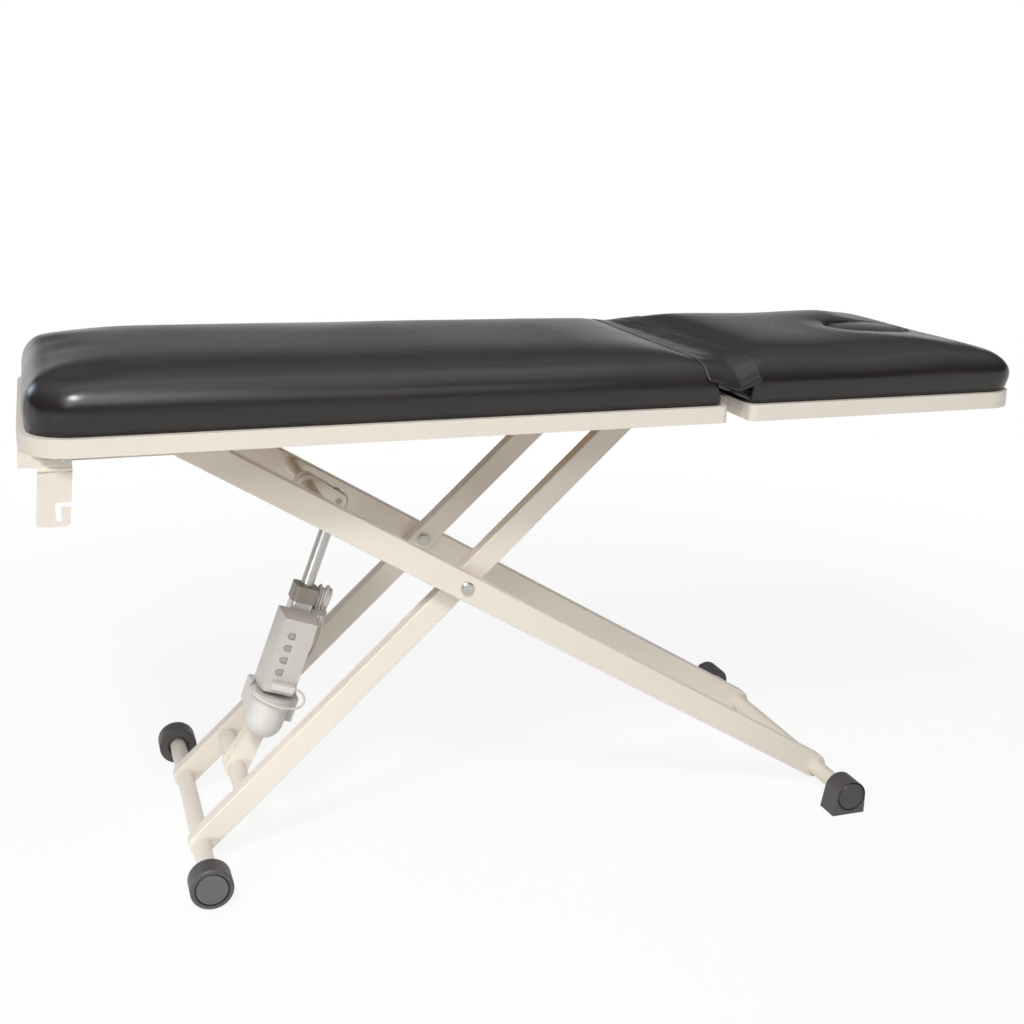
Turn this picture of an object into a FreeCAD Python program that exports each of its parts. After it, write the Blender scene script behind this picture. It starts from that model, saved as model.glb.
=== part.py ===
"""Electric examination table: a scissor-lift couch with a tilting head section.

Frame: +X points to the head end, +Y to the far side, +Z up. The origin is on the floor under the middle.
All lengths are in millimetres. The model is drawn in the raised pose of the scissor legs.
"""

import FreeCAD
import Part
import Sketcher
import math
import os
import re

Vector = FreeCAD.Vector

DIMENSIONS = {
    # Top frames
    "foot_end_x": -958.5,
    "head_end_x": 956,
    "bed_width": 648,
    "rim_top_z": 886,
    "rim_height": 31,
    "rim_width": 30,
    "rim_wall": 2.5,
    "end_corner_radius": 95,
    "head_corner_radius": 67,
    "hinge_corner_radius": 14,
    "hinge_x": 325,
    "hinge_gap": 45.7,
    "vent_radius": 3,
    "cross_member_width": 24,
    "cross_member_height": 17,
    "foot_member_x": -913.5,
    "middle_member_x": -623.5,
    "pivot_member_x": 226.5,
    # Boards and cushions
    "board_thickness": 12,
    "board_inset": 14,
    "board_clearance": 0.3,
    "cushion_bottom_gap": 2,
    "cushion_height": 77,
    "cushion_side_height": 30,
    "cushion_tuck": 9,
    "cushion_side_inset": 2,
    "cushion_roll": 58,
    "cushion_crown": 6,
    "cushion_hinge_roll": 16,
    "cushion_hinge_slope": 20,
    "cushion_hinge_setback": 2,
    "cushion_foot_inset": 6,
    "head_overhang": 2.5,
    "head_cushion_radius": 58,
    "face_hole_length": 176,
    "face_hole_width": 176,
    "face_hole_setback": 167,
    "plug_clearance": 0.4,
    "plug_drop": 5,
    "flap_thickness": 2.4,
    "flap_sag": 15,
    "flap_clearance": 0.6,
    "flap_end_inset": 4,
    "flap_lap": 3,
    "flap_fold_shift": 7,
    # Scissor legs: the two floor axes, the crossing and the top axes
    "axis_height": 40,
    "foot_axis_x": 637.2,
    "wheel_axis_x": -683.9,
    "crossing_x": -166.5,
    "crossing_z": 525.5,
    "top_axis_z": 850,
    "leg_thickness": 30,
    "leg_wall": 2.5,
    "leg_edge_radius": 3,
    "outer_leg_height": 52,
    "inner_leg_height": 47,
    "outer_leg_outside": 196,
    "leg_gap": 4,
    "cross_tube_radius": 17,
    "cross_tube_wall": 2.5,
    "running_clearance": 0.05,
    "pivot_bolt_radius": 8,
    "pivot_head_radius": 13,
    "pivot_head_height": 5,
    "pivot_nut_radius": 12,
    "pivot_nut_height": 9,
    "bush_wall": 3,
    "bush_flange_radius": 18,
    "bush_play": 0.3,
    # Feet
    "foot_face": 344,
    "foot_depth": 51,
    "foot_arch_radius": 33,
    "foot_flare": 41,
    "foot_web": 6,
    "cap_radius": 29.5,
    "cap_groove": 2.5,
    "cap_depth": 6,
    "cap_proud": 0.6,
    # Wheels
    "wheel_face": 331,
    "wheel_width": 46,
    "wheel_recess_radius": 22,
    "wheel_recess_depth": 10,
    "spindle_radius": 8,
    "spindle_head_radius": 12,
    "spindle_head_height": 3.5,
    "spindle_pocket_depth": 5,
    "spindle_plug_length": 32,
    "wheel_play": 0.4,
    # Guide rollers and channels at the foot end
    "roller_radius": 15,
    "roller_width": 26,
    "roller_shaft_radius": 8,
    "roller_gap": 6,
    "channel_wall": 3,
    "channel_play": 1.7,
    "channel_depth": 34,
    "channel_gap": 3,
    # Head-side pivot of the inner legs
    "top_shaft_radius": 10,
    "pivot_plate_thickness": 6,
    "pivot_plate_gap": 4,
    "shaft_overhang": 2,
    # Paper roll holder at the foot end
    "end_bar_width": 29,
    "end_bar_height": 20,
    "end_bar_half_length": 290,
    "roll_tab_thickness": 4,
    "roll_leaf_thickness": 3,
    "roll_leaf_width": 55,
    "roll_leaf_height": 20,
    "roll_barrel_radius": 4,
    "roll_pin_radius": 2,
    "roll_barrel_drop": 24.6,
    "roll_knuckle": 16,
    "roll_play": 0.3,
    "roll_hook_length": 92,
    "roll_hook_gap": 4.5,
    "roll_hook_rake": 9,
    "roll_slot_width": 9,
    "roll_slot_height": 34,
    "roll_slot_inset": 17.5,
    "roll_slot_bottom": 7,
    "roll_screw_radius": 4,
    "roll_screw_height": 2,
    # Head hinge
    "hinge_z": 900,
    "hinge_flange_thickness": 4,
    "hinge_flange_width": 30,
    "hinge_flange_height": 26,
    "hinge_ear_thickness": 5,
    "hinge_ear_radius": 11,
    "hinge_ear_side": 205,
    "hinge_pin_radius": 4,
    # Lift actuator: its lower pin, its upper pin and the cross tubes that carry them
    "base_pin_x": -548.4,
    "base_pin_z": 199,
    "rod_pin_x": -378.5,
    "rod_pin_z": 666,
    "base_tube_x": -594.9,
    "base_tube_radius": 18,
    "rod_tube_along": 1263,
    "rod_tube_offset": 9.5,
    "rod_tube_radius": 13,
    "actuator_pin_radius": 6,
    "bracket_thickness": 6,
    "base_bracket_radius": 24,
    "rod_bracket_radius": 22,
    "bracket_eye_radius": 16,
    "bracket_side_play": 2,
    "rod_eye_radius": 21,
    "rod_eye_play": 6.3,
    "eye_half_width": 11,
    "gearbox_bottom": 46,
    "gearbox_half_width": 46,
    "gearbox_back": 26,
    "gearbox_height": 50,
    "motor_offset": 58,
    "motor_radius": 38,
    "motor_dome_bottom": 4,
    "motor_core_radius": 31,
    "motor_core_length": 54,
    "tube_side": 44,
    "tube_corner_radius": 9,
    "tube_bore_radius": 17,
    "tube_length": 184,
    "collar_side": 50,
    "collar_corner_radius": 11,
    "collar_length": 32,
    "rod_radius": 13,
    "rod_bore_radius": 9,
    "rod_end_length": 30,
    "rod_neck_radius": 12,
    "nut_radius": 16.5,
    "nut_length": 22,
    "nut_below_collar": 3,
    "screw_radius": 7,
    "screw_top_gap": 8,
    "motor_x": -8,
    "box_x": -7,
    "box_half_width": 39,
    "box_foot_half_width": 33,
    "box_bottom": 100,
    "box_shoulder": 14,
    "box_length": 165,
    "box_back_thickness": 10,
    "box_cover_depth": 48,
    "box_taper": 7,
    "socket_width": 17,
    "socket_height": 14,
    "socket_depth": 4,
    "socket_pitch": 25.6,
    "socket_x": -18,
    "lowest_socket_rise": 24,
    "plug_body_depth": 16,
    "plug_body_height": 13,
    "plug_body_length": 46.5,
    "plug_play": 0.3,
    # Lead and hank
    "lead_radius": 2.5,
    "gland_radius": 5,
    "gland_height": 6,
    "gland_x": 38,
    "gland_y": -8,
    "hank_x": 30,
    "hank_bottom": 223,
    "hank_length": 84,
    "hank_end_radius": 8,
    "hank_waist_radius": 3.4,
    "hank_pitch": 6.4,
    "hank_tie_height": 9,
    "hank_tie_wall": 1.6,
    "hank_tie_play": 0.3,
}

HANK_LOOPS = 4
SOCKET_COUNT = 5
CUSHION_ROLL_STEPS = 6
CUSHION_CROWN_STEPS = 4
CORD_BEND_SHARE = 0.45
SAME_LINE = 0.001
# Points that the lead passes in the actuator's frame, from the plug round the motor to the hank
LEAD_ROUTE = (
    (34, -88, 124), (46, -93, 113.5), (46, -95, 100), (36, -98, 91), (19, -103, 88.5), (-3, -106, 88.5),
    (-25, -102, 90.5), (-43, -92, 93.5), (-55, -77, 96.5), (-58, -60, 98.7), (-54, -43, 100.2),
    (-47.5, -28, 101.5), (-41, -13, 103), (-35.5, 2, 105.2), (-31, 16, 109), (-25.5, 27.5, 115.5),
    (-17, 36, 125), (-5, 41, 137), (8, 41.5, 150), (19, 38, 164), (27, 30, 179), (30, 18, 196), (30, 8, 213))
# Drops of the lead's tail below the end of the hank, as X and Z steps
TAIL_DROPS = ((0, -17), (-2, -36), (-6, -55), (-11, -74), (-15.4, -93))
TAIL_END = (0.5, 14)

DERIVED = {
    "side_half": "bed_width / 2",
    "rim_bottom_z": "rim_top_z - rim_height",
    "main_end_x": "hinge_x - hinge_gap / 2",
    "head_start_x": "hinge_x + hinge_gap / 2",
    "member_bottom_z": "rim_top_z - cross_member_height",
    "member_half": "side_half - rim_width",
    "foot_member_reach": "foot_end_x + end_corner_radius - foot_member_x + cross_member_width / 2",
    "foot_member_bow": "sqrt(max((end_corner_radius - rim_width) ^ 2 - foot_member_reach ^ 2; 0))",
    "foot_member_half": "side_half - end_corner_radius + foot_member_bow",
    "cushion_bottom_z": "rim_top_z + cushion_bottom_gap",
    "face_hole_x": "head_end_x - face_hole_setback",
    "outer_leg_inside": "outer_leg_outside - leg_thickness",
    "inner_leg_outside": "outer_leg_inside - leg_gap",
    "inner_leg_inside": "inner_leg_outside - leg_thickness",
    "lower_rise": "crossing_z - axis_height",
    "upper_rise": "top_axis_z - crossing_z",
    "outer_run": "foot_axis_x - crossing_x",
    "inner_run": "crossing_x - wheel_axis_x",
    "outer_angle": "atan2(lower_rise; outer_run)",
    "inner_angle": "atan2(lower_rise; inner_run)",
    "outer_lower_arm": "sqrt(lower_rise ^ 2 + outer_run ^ 2)",
    "inner_lower_arm": "sqrt(lower_rise ^ 2 + inner_run ^ 2)",
    "outer_length": "outer_lower_arm * (1 + upper_rise / lower_rise)",
    "inner_length": "inner_lower_arm * (1 + upper_rise / lower_rise)",
    "outer_top_x": "crossing_x - outer_run * upper_rise / lower_rise",
    "inner_top_x": "crossing_x + inner_run * upper_rise / lower_rise",
    "base_tube_z": "axis_height + (base_tube_x - wheel_axis_x) * lower_rise / inner_run",
    "rod_tube_x": "foot_axis_x - rod_tube_along * cos(outer_angle) + rod_tube_offset * sin(outer_angle)",
    "rod_tube_z": "axis_height + rod_tube_along * sin(outer_angle) + rod_tube_offset * cos(outer_angle)",
    "cap_recess_radius": "cap_radius + cap_groove",
    "foot_tube_half": "foot_face - cap_depth - foot_web",
    "foot_inner_face": "foot_face - foot_depth",
    "foot_corner_reach": "sqrt(foot_flare ^ 2 + axis_height ^ 2)",
    "foot_side_length": "sqrt(foot_corner_reach ^ 2 - foot_arch_radius ^ 2)",
    "foot_side_angle": "atan2(axis_height; foot_flare) + asin(foot_arch_radius / foot_corner_reach)",
    "wheel_inner_face": "wheel_face - wheel_width",
    "wheel_hub_inner": "wheel_inner_face + wheel_recess_depth",
    "wheel_cap_floor": "wheel_face - cap_depth",
    "wheel_hub_outer": "wheel_cap_floor - spindle_pocket_depth",
    "axle_half": "wheel_hub_inner - wheel_play",
    "axle_bore": "cross_tube_radius - cross_tube_wall",
    "channel_inner_face": "outer_leg_outside + channel_gap",
    "channel_outer_face": "channel_inner_face + channel_depth",
    "roller_inner_face": "outer_leg_outside + roller_gap",
    "roller_outer_face": "roller_inner_face + roller_width",
    "channel_opening": "roller_radius + channel_play",
    "channel_top_z": "top_axis_z + channel_opening + channel_wall",
    "pivot_plate_inner": "inner_leg_outside + pivot_plate_gap",
    "pivot_plate_outer": "pivot_plate_inner + pivot_plate_thickness",
    "pivot_plate_half": "member_bottom_z - top_axis_z",
    "roll_x": "foot_end_x + end_bar_width",
    "roll_barrel_z": "rim_bottom_z - roll_barrel_drop",
    "roll_hook_top": "roll_barrel_z - roll_hook_gap",
    "roll_slot_x": "roll_x + roll_leaf_width - roll_hook_rake - roll_slot_inset",
    "actuator_angle": "atan2(rod_pin_x - base_pin_x; rod_pin_z - base_pin_z)",
    "actuator_length": "sqrt((rod_pin_x - base_pin_x) ^ 2 + (rod_pin_z - base_pin_z) ^ 2)",
    "gearbox_top": "gearbox_bottom + gearbox_height",
    "tube_top": "gearbox_top + tube_length",
    "collar_top": "tube_top + collar_length",
    "nut_top": "tube_top - nut_below_collar",
    "nut_bottom": "nut_top - nut_length",
    "rod_top": "actuator_length - rod_end_length",
    "box_top": "box_bottom + box_length",
    "box_back_face": "tube_side / 2",
    "box_joint": "box_back_face + box_back_thickness",
    "box_front": "box_joint + box_cover_depth",
    "lowest_socket_z": "box_bottom + lowest_socket_rise",
    "plug_end_x": "socket_x - socket_width / 2 + plug_body_length",
    "plug_middle_y": "-box_front - plug_body_depth / 2",
    "base_ear_face": "eye_half_width + bracket_side_play",
    "flap_main_x": "main_end_x - cushion_hinge_setback - cushion_hinge_slope - cushion_hinge_roll - flap_lap",
    "flap_head_x": "head_start_x + cushion_hinge_setback + cushion_hinge_roll + flap_lap",
}

doc = FreeCAD.newDocument("examination_table")
sheet = doc.addObject("Spreadsheet::Sheet", "dims")
for row, (alias, number) in enumerate(DIMENSIONS.items(), start=1):
    sheet.set(f"A{row}", alias)
    sheet.set(f"B{row}", str(number))
    sheet.setAlias(f"B{row}", alias)
doc.recompute()

finished = []


def expand(text):
    """Turn plain names in a formula into references to the sheet."""
    def swap(match):
        word = match.group(0)
        if word in DERIVED:
            return f"({expand(DERIVED[word])})"
        if word in DIMENSIONS:
            return f"dims.{word}"
        return word
    return re.sub(r"[a-z_][a-z_0-9]*", swap, str(text))


def value(text):
    """Number that a formula gives, in millimetres or degrees."""
    result = sheet.evalExpression(expand(text))
    return float(getattr(result, "Value", result))


def bind(thing, prop, text):
    """Tie one property of an object to a formula on the sheet."""
    thing.setExpression(prop, expand(text))


def place(thing, x="0", y="0", z="0", angle=None, axis=(0, 1, 0)):
    """Put an object at a point, turned about an axis by a formula's angle."""
    if angle is not None:
        thing.Placement = FreeCAD.Placement(Vector(), FreeCAD.Rotation(Vector(*axis), value(angle)))
        bind(thing, "Placement.Rotation.Angle", angle)
    for name, text in (("x", x), ("y", y), ("z", z)):
        bind(thing, f"Placement.Base.{name}", text)
    return thing


def piece(label, thing):
    """Name a finished piece: its label is also its file name."""
    thing.Label = label
    finished.append(thing)
    return thing


def block(name, corner, size):
    """Rectangular block from its low corner and its three sizes."""
    box = doc.addObject("Part::Box", name)
    for prop, text in zip(("Length", "Width", "Height"), size):
        bind(box, prop, text)
    return place(box, *corner)


AXIS_TURNS = {"x": ((0, 1, 0), 90), "y": ((1, 0, 0), -90), "z": ((0, 0, 1), 0)}


def cylinder(name, axis, base, length, radius):
    """Cylinder that starts at base and runs along +X, +Y or +Z."""
    round_bar = doc.addObject("Part::Cylinder", name)
    bind(round_bar, "Radius", radius)
    bind(round_bar, "Height", length)
    turn_axis, degrees = AXIS_TURNS[axis]
    round_bar.Placement = FreeCAD.Placement(Vector(), FreeCAD.Rotation(Vector(*turn_axis), degrees))
    return place(round_bar, *base)


def fuse(name, shapes):
    """Join shapes that are welded or moulded as one."""
    joined = doc.addObject("Part::MultiFuse", name)
    joined.Shapes = shapes
    return joined


def cut(name, base, tools):
    """Take one or more tools out of a base."""
    tool = tools[0]
    if len(tools) > 1:
        tool = fuse(f"{name}_tools", tools)
    result = doc.addObject("Part::Cut", name)
    result.Base = base
    result.Tool = tool
    return result


def mirrored(name, source):
    """Copy of a near-side piece on the far side."""
    copy = doc.addObject("Part::Mirroring", name)
    copy.Source = source
    copy.Normal = Vector(0, 1, 0)
    return copy


def both_sides(label, make):
    """Make a near piece and its far mirror as two pieces."""
    near = piece(f"{label}_near", make(f"{label}_near"))
    far = piece(f"{label}_far", mirrored(f"{label}_far", near))
    return near, far


def pair(label, near):
    """One node that holds a near piece and its far mirror as separate solids."""
    group = doc.addObject("Part::Compound", label)
    group.Links = [near, mirrored(f"{label}_far_side", near)]
    return piece(label, group)


def origin_plane(body, role):
    """One of the body's own origin planes."""
    return next(plane for plane in body.Origin.OriginFeatures if plane.Role == role)


def outline(sketch, points):
    """Closed outline whose corners follow formulas."""
    corners = [Vector(value(x), value(y), 0) for x, y in points]
    count = len(corners)
    for index, corner in enumerate(corners):
        sketch.addGeometry(Part.LineSegment(corner, corners[(index + 1) % count]))
    for index in range(count):
        sketch.addConstraint(Sketcher.Constraint("Coincident", index, 2, (index + 1) % count, 1))
    for index, point in enumerate(points):
        for kind, text in zip(("DistanceX", "DistanceY"), point):
            number = sketch.addConstraint(Sketcher.Constraint(kind, -1, 1, index, 1, value(text)))
            bind(sketch, f"Constraints[{number}]", text)


def sketch_on(body, role, points, offset="0"):
    """Sketch of an outline on one of the body's planes, moved along the plane's normal."""
    sketch = body.newObject("Sketcher::SketchObject", f"{body.Name}_outline")
    sketch.AttachmentSupport = [(origin_plane(body, role), "")]
    sketch.MapMode = "FlatFace"
    bind(sketch, "AttachmentOffset.Base.z", offset)
    outline(sketch, points)
    return sketch


def padded(name, role, points, offset, length, rounds=()):
    """Body padded from an outline, with some of its corners rounded."""
    body = doc.addObject("PartDesign::Body", name)
    sketch = sketch_on(body, role, points, offset)
    pad = body.newObject("PartDesign::Pad", f"{name}_pad")
    pad.Profile = sketch
    bind(pad, "Length", length)
    for corner_indexes, radius in rounds:
        round_corners(body, sketch, points, corner_indexes, radius)
    return body


def round_corners(body, sketch, points, corner_indexes, radius):
    """Fillet the upright edges at the given corners of the body's outline."""
    doc.recompute()
    normal = sketch.Placement.Rotation.multVec(Vector(0, 0, 1))
    corners = [sketch.Placement.multVec(Vector(value(points[i][0]), value(points[i][1]), 0))
               for i in corner_indexes]
    base = body.Tip
    names = []
    for index, edge in enumerate(base.Shape.Edges, start=1):
        ends = [vertex.Point for vertex in edge.Vertexes]
        for corner in corners:
            if all((end - corner).cross(normal).Length < SAME_LINE for end in ends):
                names.append(f"Edge{index}")
    fillet = body.newObject("PartDesign::Fillet", f"{body.Name}_round")
    fillet.Base = (base, names)
    bind(fillet, "Radius", radius)


def turned(name, profile):
    """Body turned about the Y axis from an outline of radius and Y."""
    body = doc.addObject("PartDesign::Body", name)
    sketch = sketch_on(body, "XY_Plane", profile)
    revolve = body.newObject("PartDesign::Revolution", f"{name}_turn")
    revolve.Profile = sketch
    revolve.ReferenceAxis = (sketch, ["V_Axis"])
    revolve.Angle = 360
    return body


def on_actuator(thing):
    """Carry a piece drawn along +Z from the lower pin to its slanted place in the legs."""
    return place(thing, "base_pin_x", "0", "base_pin_z", angle="actuator_angle")


def on_outer_leg(thing):
    """Carry a piece drawn along +X from the foot axis to the outer leg's slope."""
    return place(thing, "foot_axis_x", "0", "axis_height", angle="180 deg + outer_angle")


def on_inner_leg(thing):
    """Carry a piece drawn along +X from the wheel axis to the inner leg's slope."""
    return place(thing, "wheel_axis_x", "0", "axis_height", angle="-inner_angle")


def rounded_bar(name, length, height, outside, thickness):
    """Flat-sided bar along +X with half-round ends and eased edges, on the near side."""
    middle = block(f"{name}_middle", ("0", f"-{outside}", f"-{height} / 2"), (length, thickness, height))
    ends = [cylinder(f"{name}_end_{index}", "y", (x, f"-{outside}", "0"), thickness, f"{height} / 2")
            for index, x in enumerate(("0", length))]
    solid = fuse(f"{name}_solid", [middle, *ends])
    solid.Refine = True
    return eased(f"{name}_eased", solid, "leg_edge_radius")


def eased(name, source, radius):
    """Solid with the edges of its two flat side faces rounded."""
    doc.recompute()
    box = source.Shape.BoundBox
    size = value(radius)
    picked = []
    for index, edge in enumerate(source.Shape.Edges, start=1):
        spread = edge.BoundBox
        on_face = min(abs(spread.YMax - box.YMin), abs(spread.YMin - box.YMax)) < SAME_LINE
        if spread.YLength < SAME_LINE and on_face:
            picked.append((index, size, size))
    fillet = doc.addObject("Part::Fillet", name)
    fillet.Base = source
    fillet.Edges = picked
    return fillet


def leg(name, length, height, outside, holes, carry):
    """Near leg: a hollow rectangular tube with half-round ends and bored eyes."""
    solid = rounded_bar(name, length, height, outside, "leg_thickness")
    hollow = block(
        f"{name}_hollow",
        (f"{height} / 2 + leg_wall", f"leg_wall - {outside}", f"leg_wall - {height} / 2"),
        (f"{length} - {height} - 2 * leg_wall", "leg_thickness - 2 * leg_wall", f"{height} - 2 * leg_wall"))
    bores = [cylinder(f"{name}_bore_{index}", "y", (along, f"-{outside}", "0"), "leg_thickness", radius)
             for index, (along, radius) in enumerate(holes)]
    return carry(cut(name, solid, [hollow, *bores]))


def cross_tube(label, centre, half, radius, wall):
    """Round tube along Y, centred on the middle of the table."""
    x, z = centre
    outer = cylinder(f"{label}_outer", "y", (x, f"-{half}", z), f"2 * ({half})", radius)
    inner = cylinder(f"{label}_inner", "y", (x, f"-{half}", z), f"2 * ({half})", f"{radius} - {wall}")
    return piece(label, cut(label, outer, [inner]))


def make_feet():
    """D-shaped rubber feet with their round caps."""
    def foot(name):
        profile = [("foot_axis_x - foot_flare", "0"), ("foot_axis_x + foot_arch_radius", "0"),
                   ("foot_axis_x + foot_arch_radius", "axis_height"),
                   ("foot_axis_x - foot_flare + foot_side_length * cos(foot_side_angle)",
                    "foot_side_length * sin(foot_side_angle)")]
        sole = padded(f"{name}_sole", "XZ_Plane", profile, "foot_inner_face", "foot_depth")
        arch = cylinder(f"{name}_arch", "y", ("foot_axis_x", "-foot_face", "axis_height"), "foot_depth",
                        "foot_arch_radius")
        bore_start = "-foot_tube_half - running_clearance"
        bore = cylinder(f"{name}_bore", "y", ("foot_axis_x", bore_start, "axis_height"), "foot_depth",
                        "cross_tube_radius + running_clearance")
        recess = cylinder(f"{name}_recess", "y", ("foot_axis_x", "-foot_face", "axis_height"), "cap_depth",
                          "cap_recess_radius")
        return cut(name, fuse(f"{name}_body", [sole, arch]), [bore, recess])

    both_sides("foot", foot)
    pair("foot_caps", cap("foot_cap", "foot_axis_x", "foot_face"))


def cap(name, x, face):
    """Round end cap with a bevelled rim, seated in its recess."""
    bevel = "2 * cap_proud"
    disc = turned(name, [
        ("0", f"cap_depth - {face}"),
        ("cap_radius", f"cap_depth - {face}"),
        ("cap_radius", f"{bevel} - {face}"),
        (f"cap_radius - {bevel}", f"-cap_proud - {face}"),
        ("0", f"-cap_proud - {face}")])
    return place(disc, x, "0", "axis_height")


def make_outer_legs():
    """Outer leg pair with the foot tube, roller shaft and crossing bolts."""
    holes = [("0", "cross_tube_radius + running_clearance"),
             ("outer_lower_arm", "pivot_bolt_radius + running_clearance"),
             ("outer_length", "roller_shaft_radius + running_clearance")]

    def outer_leg(name):
        return leg(name, "outer_length", "outer_leg_height", "outer_leg_outside", holes, on_outer_leg)

    both_sides("outer_leg", outer_leg)
    foot_axis = ("foot_axis_x", "axis_height")
    rod_axis = ("rod_tube_x", "rod_tube_z")
    cross_tube("foot_tube", foot_axis, "foot_tube_half", "cross_tube_radius", "cross_tube_wall")
    cross_tube("rod_cross_tube", rod_axis, "outer_leg_inside", "rod_tube_radius", "leg_wall")
    shaft_half = "roller_outer_face + shaft_overhang / 2"
    shaft = cylinder("roller_shaft", "y", ("outer_top_x", f"-({shaft_half})", "top_axis_z"),
                     f"2 * ({shaft_half})", "roller_shaft_radius")
    piece("roller_shaft", shaft)
    nut_face = "inner_leg_inside - bush_play"
    bolt = turned("pivot_bolt", [
        ("0", "-outer_leg_outside - pivot_head_height"),
        ("pivot_head_radius - pivot_head_height / 2", "-outer_leg_outside - pivot_head_height"),
        ("pivot_head_radius", "-outer_leg_outside - pivot_head_height / 2"),
        ("pivot_head_radius", "-outer_leg_outside"),
        ("pivot_bolt_radius", "-outer_leg_outside"),
        ("pivot_bolt_radius", f"-({nut_face})"),
        ("pivot_nut_radius", f"-({nut_face})"),
        ("pivot_nut_radius", f"pivot_nut_height - ({nut_face})"),
        ("0", f"pivot_nut_height - ({nut_face})")])
    pair("pivot_bolts", place(bolt, "crossing_x", "0", "crossing_z"))


def make_inner_legs():
    """Inner leg pair with the wheel axle, its spindles, the top shaft and the crossing bushes."""
    holes = [("0", "cross_tube_radius + running_clearance"),
             ("inner_lower_arm", "pivot_bolt_radius + bush_wall + 2 * running_clearance"),
             ("inner_length", "top_shaft_radius + running_clearance")]

    def inner_leg(name):
        return leg(name, "inner_length", "inner_leg_height", "inner_leg_outside", holes, on_inner_leg)

    both_sides("inner_leg", inner_leg)
    wheel_axis = ("wheel_axis_x", "axis_height")
    base_axis = ("base_tube_x", "base_tube_z")
    cross_tube("axle_tube", wheel_axis, "axle_half", "cross_tube_radius", "cross_tube_wall")
    cross_tube("base_cross_tube", base_axis, "inner_leg_inside", "base_tube_radius", "leg_wall")
    shaft_half = "pivot_plate_outer + shaft_overhang"
    shaft = cylinder("top_pivot_shaft", "y", ("inner_top_x", f"-({shaft_half})", "top_axis_z"),
                     f"2 * ({shaft_half})", "top_shaft_radius")
    piece("top_pivot_shaft", shaft)
    bush_bore = "pivot_bolt_radius + running_clearance"
    bush_outside = "pivot_bolt_radius + bush_wall + running_clearance"
    bush = turned("pivot_bush", [
        (bush_bore, "bush_play - outer_leg_inside"),
        ("bush_flange_radius", "bush_play - outer_leg_inside"),
        ("bush_flange_radius", "-inner_leg_outside"),
        (bush_outside, "-inner_leg_outside"),
        (bush_outside, "-inner_leg_inside"),
        (bush_bore, "-inner_leg_inside")])
    pair("pivot_bushes", place(bush, "crossing_x", "0", "crossing_z"))
    spindle = turned("wheel_spindle", [
        ("0", "spindle_plug_length - axle_half"),
        ("axle_bore - running_clearance", "spindle_plug_length - axle_half"),
        ("axle_bore - running_clearance", "-axle_half"),
        ("spindle_radius", "-axle_half"),
        ("spindle_radius", "-wheel_hub_outer - wheel_play"),
        ("spindle_head_radius", "-wheel_hub_outer - wheel_play"),
        ("spindle_head_radius", "-wheel_hub_outer - wheel_play - spindle_head_height"),
        ("0", "-wheel_hub_outer - wheel_play - spindle_head_height")])
    pair("wheel_spindles", place(spindle, "wheel_axis_x", "0", "axis_height"))


def make_wheels():
    """Transport wheels with their caps."""
    def wheel(name):
        bore = "spindle_radius + running_clearance"
        pocket = "spindle_head_radius + cap_proud"
        tyre = turned(name, [
            (bore, "-wheel_hub_inner"), ("wheel_recess_radius", "-wheel_hub_inner"),
            ("wheel_recess_radius", "-wheel_inner_face"), ("axis_height - cap_groove", "-wheel_inner_face"),
            ("axis_height", "-wheel_inner_face - cap_groove"), ("axis_height", "cap_groove - wheel_face"),
            ("axis_height - cap_groove", "-wheel_face"), ("cap_recess_radius", "-wheel_face"),
            ("cap_recess_radius", "-wheel_cap_floor"), (pocket, "-wheel_cap_floor"),
            (pocket, "-wheel_hub_outer"), (bore, "-wheel_hub_outer")])
        return place(tyre, "wheel_axis_x", "0", "axis_height")

    both_sides("wheel", wheel)
    both_sides("wheel_cap", lambda name: cap(name, "wheel_axis_x", "wheel_face"))


def make_rollers():
    """Guide rollers on the outer legs' top shaft."""
    def roller(name):
        bevel = "running_clearance + channel_play / 2"
        body = turned(name, [
            ("roller_shaft_radius + running_clearance", "-roller_inner_face"),
            (f"roller_radius - ({bevel})", "-roller_inner_face"),
            ("roller_radius", f"-roller_inner_face - ({bevel})"),
            ("roller_radius", f"{bevel} - roller_outer_face"),
            (f"roller_radius - ({bevel})", "-roller_outer_face"),
            ("roller_shaft_radius + running_clearance", "-roller_outer_face")])
        return place(body, "outer_top_x", "0", "top_axis_z")

    both_sides("guide_roller", roller)


def rim(label, low_x, high_x, low_radius, high_radius):
    """Perimeter frame of bent rectangular tube, hollow, with vent holes underneath."""
    def ring_block(name, inset, low_z, height):
        left = f"{low_x} + ({inset})"
        right = f"{high_x} - ({inset})"
        near = f"({inset}) - side_half"
        far = f"side_half - ({inset})"
        points = [(left, near), (right, near), (right, far), (left, far)]
        rounds = [((0, 3), low_radius(inset)), ((1, 2), high_radius(inset))]
        return padded(name, "XY_Plane", points, low_z, height, rounds)

    outer = ring_block(f"{label}_outer", "0", "rim_bottom_z", "rim_height")
    inner = ring_block(f"{label}_inner", "rim_width", "rim_bottom_z", "rim_height")
    floor_z = "rim_bottom_z + rim_wall"
    room = "rim_height - 2 * rim_wall"
    cavity_outer = ring_block(f"{label}_cavity_outer", "rim_wall", floor_z, room)
    cavity_inner = ring_block(f"{label}_cavity_inner", "rim_width - rim_wall", floor_z, room)
    cavity = cut(f"{label}_cavity", cavity_outer, [cavity_inner])
    middle = f"({low_x} + {high_x}) / 2"
    drill = "2 * rim_wall"
    vents = [cylinder(f"{label}_vent_{index}", "z", (middle, y, "rim_bottom_z"), drill, "vent_radius")
             for index, y in enumerate(("rim_width / 2 - side_half", "side_half - rim_width / 2"))]
    return piece(label, cut(label, cut(f"{label}_ring", outer, [inner]), [cavity, *vents]))


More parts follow.
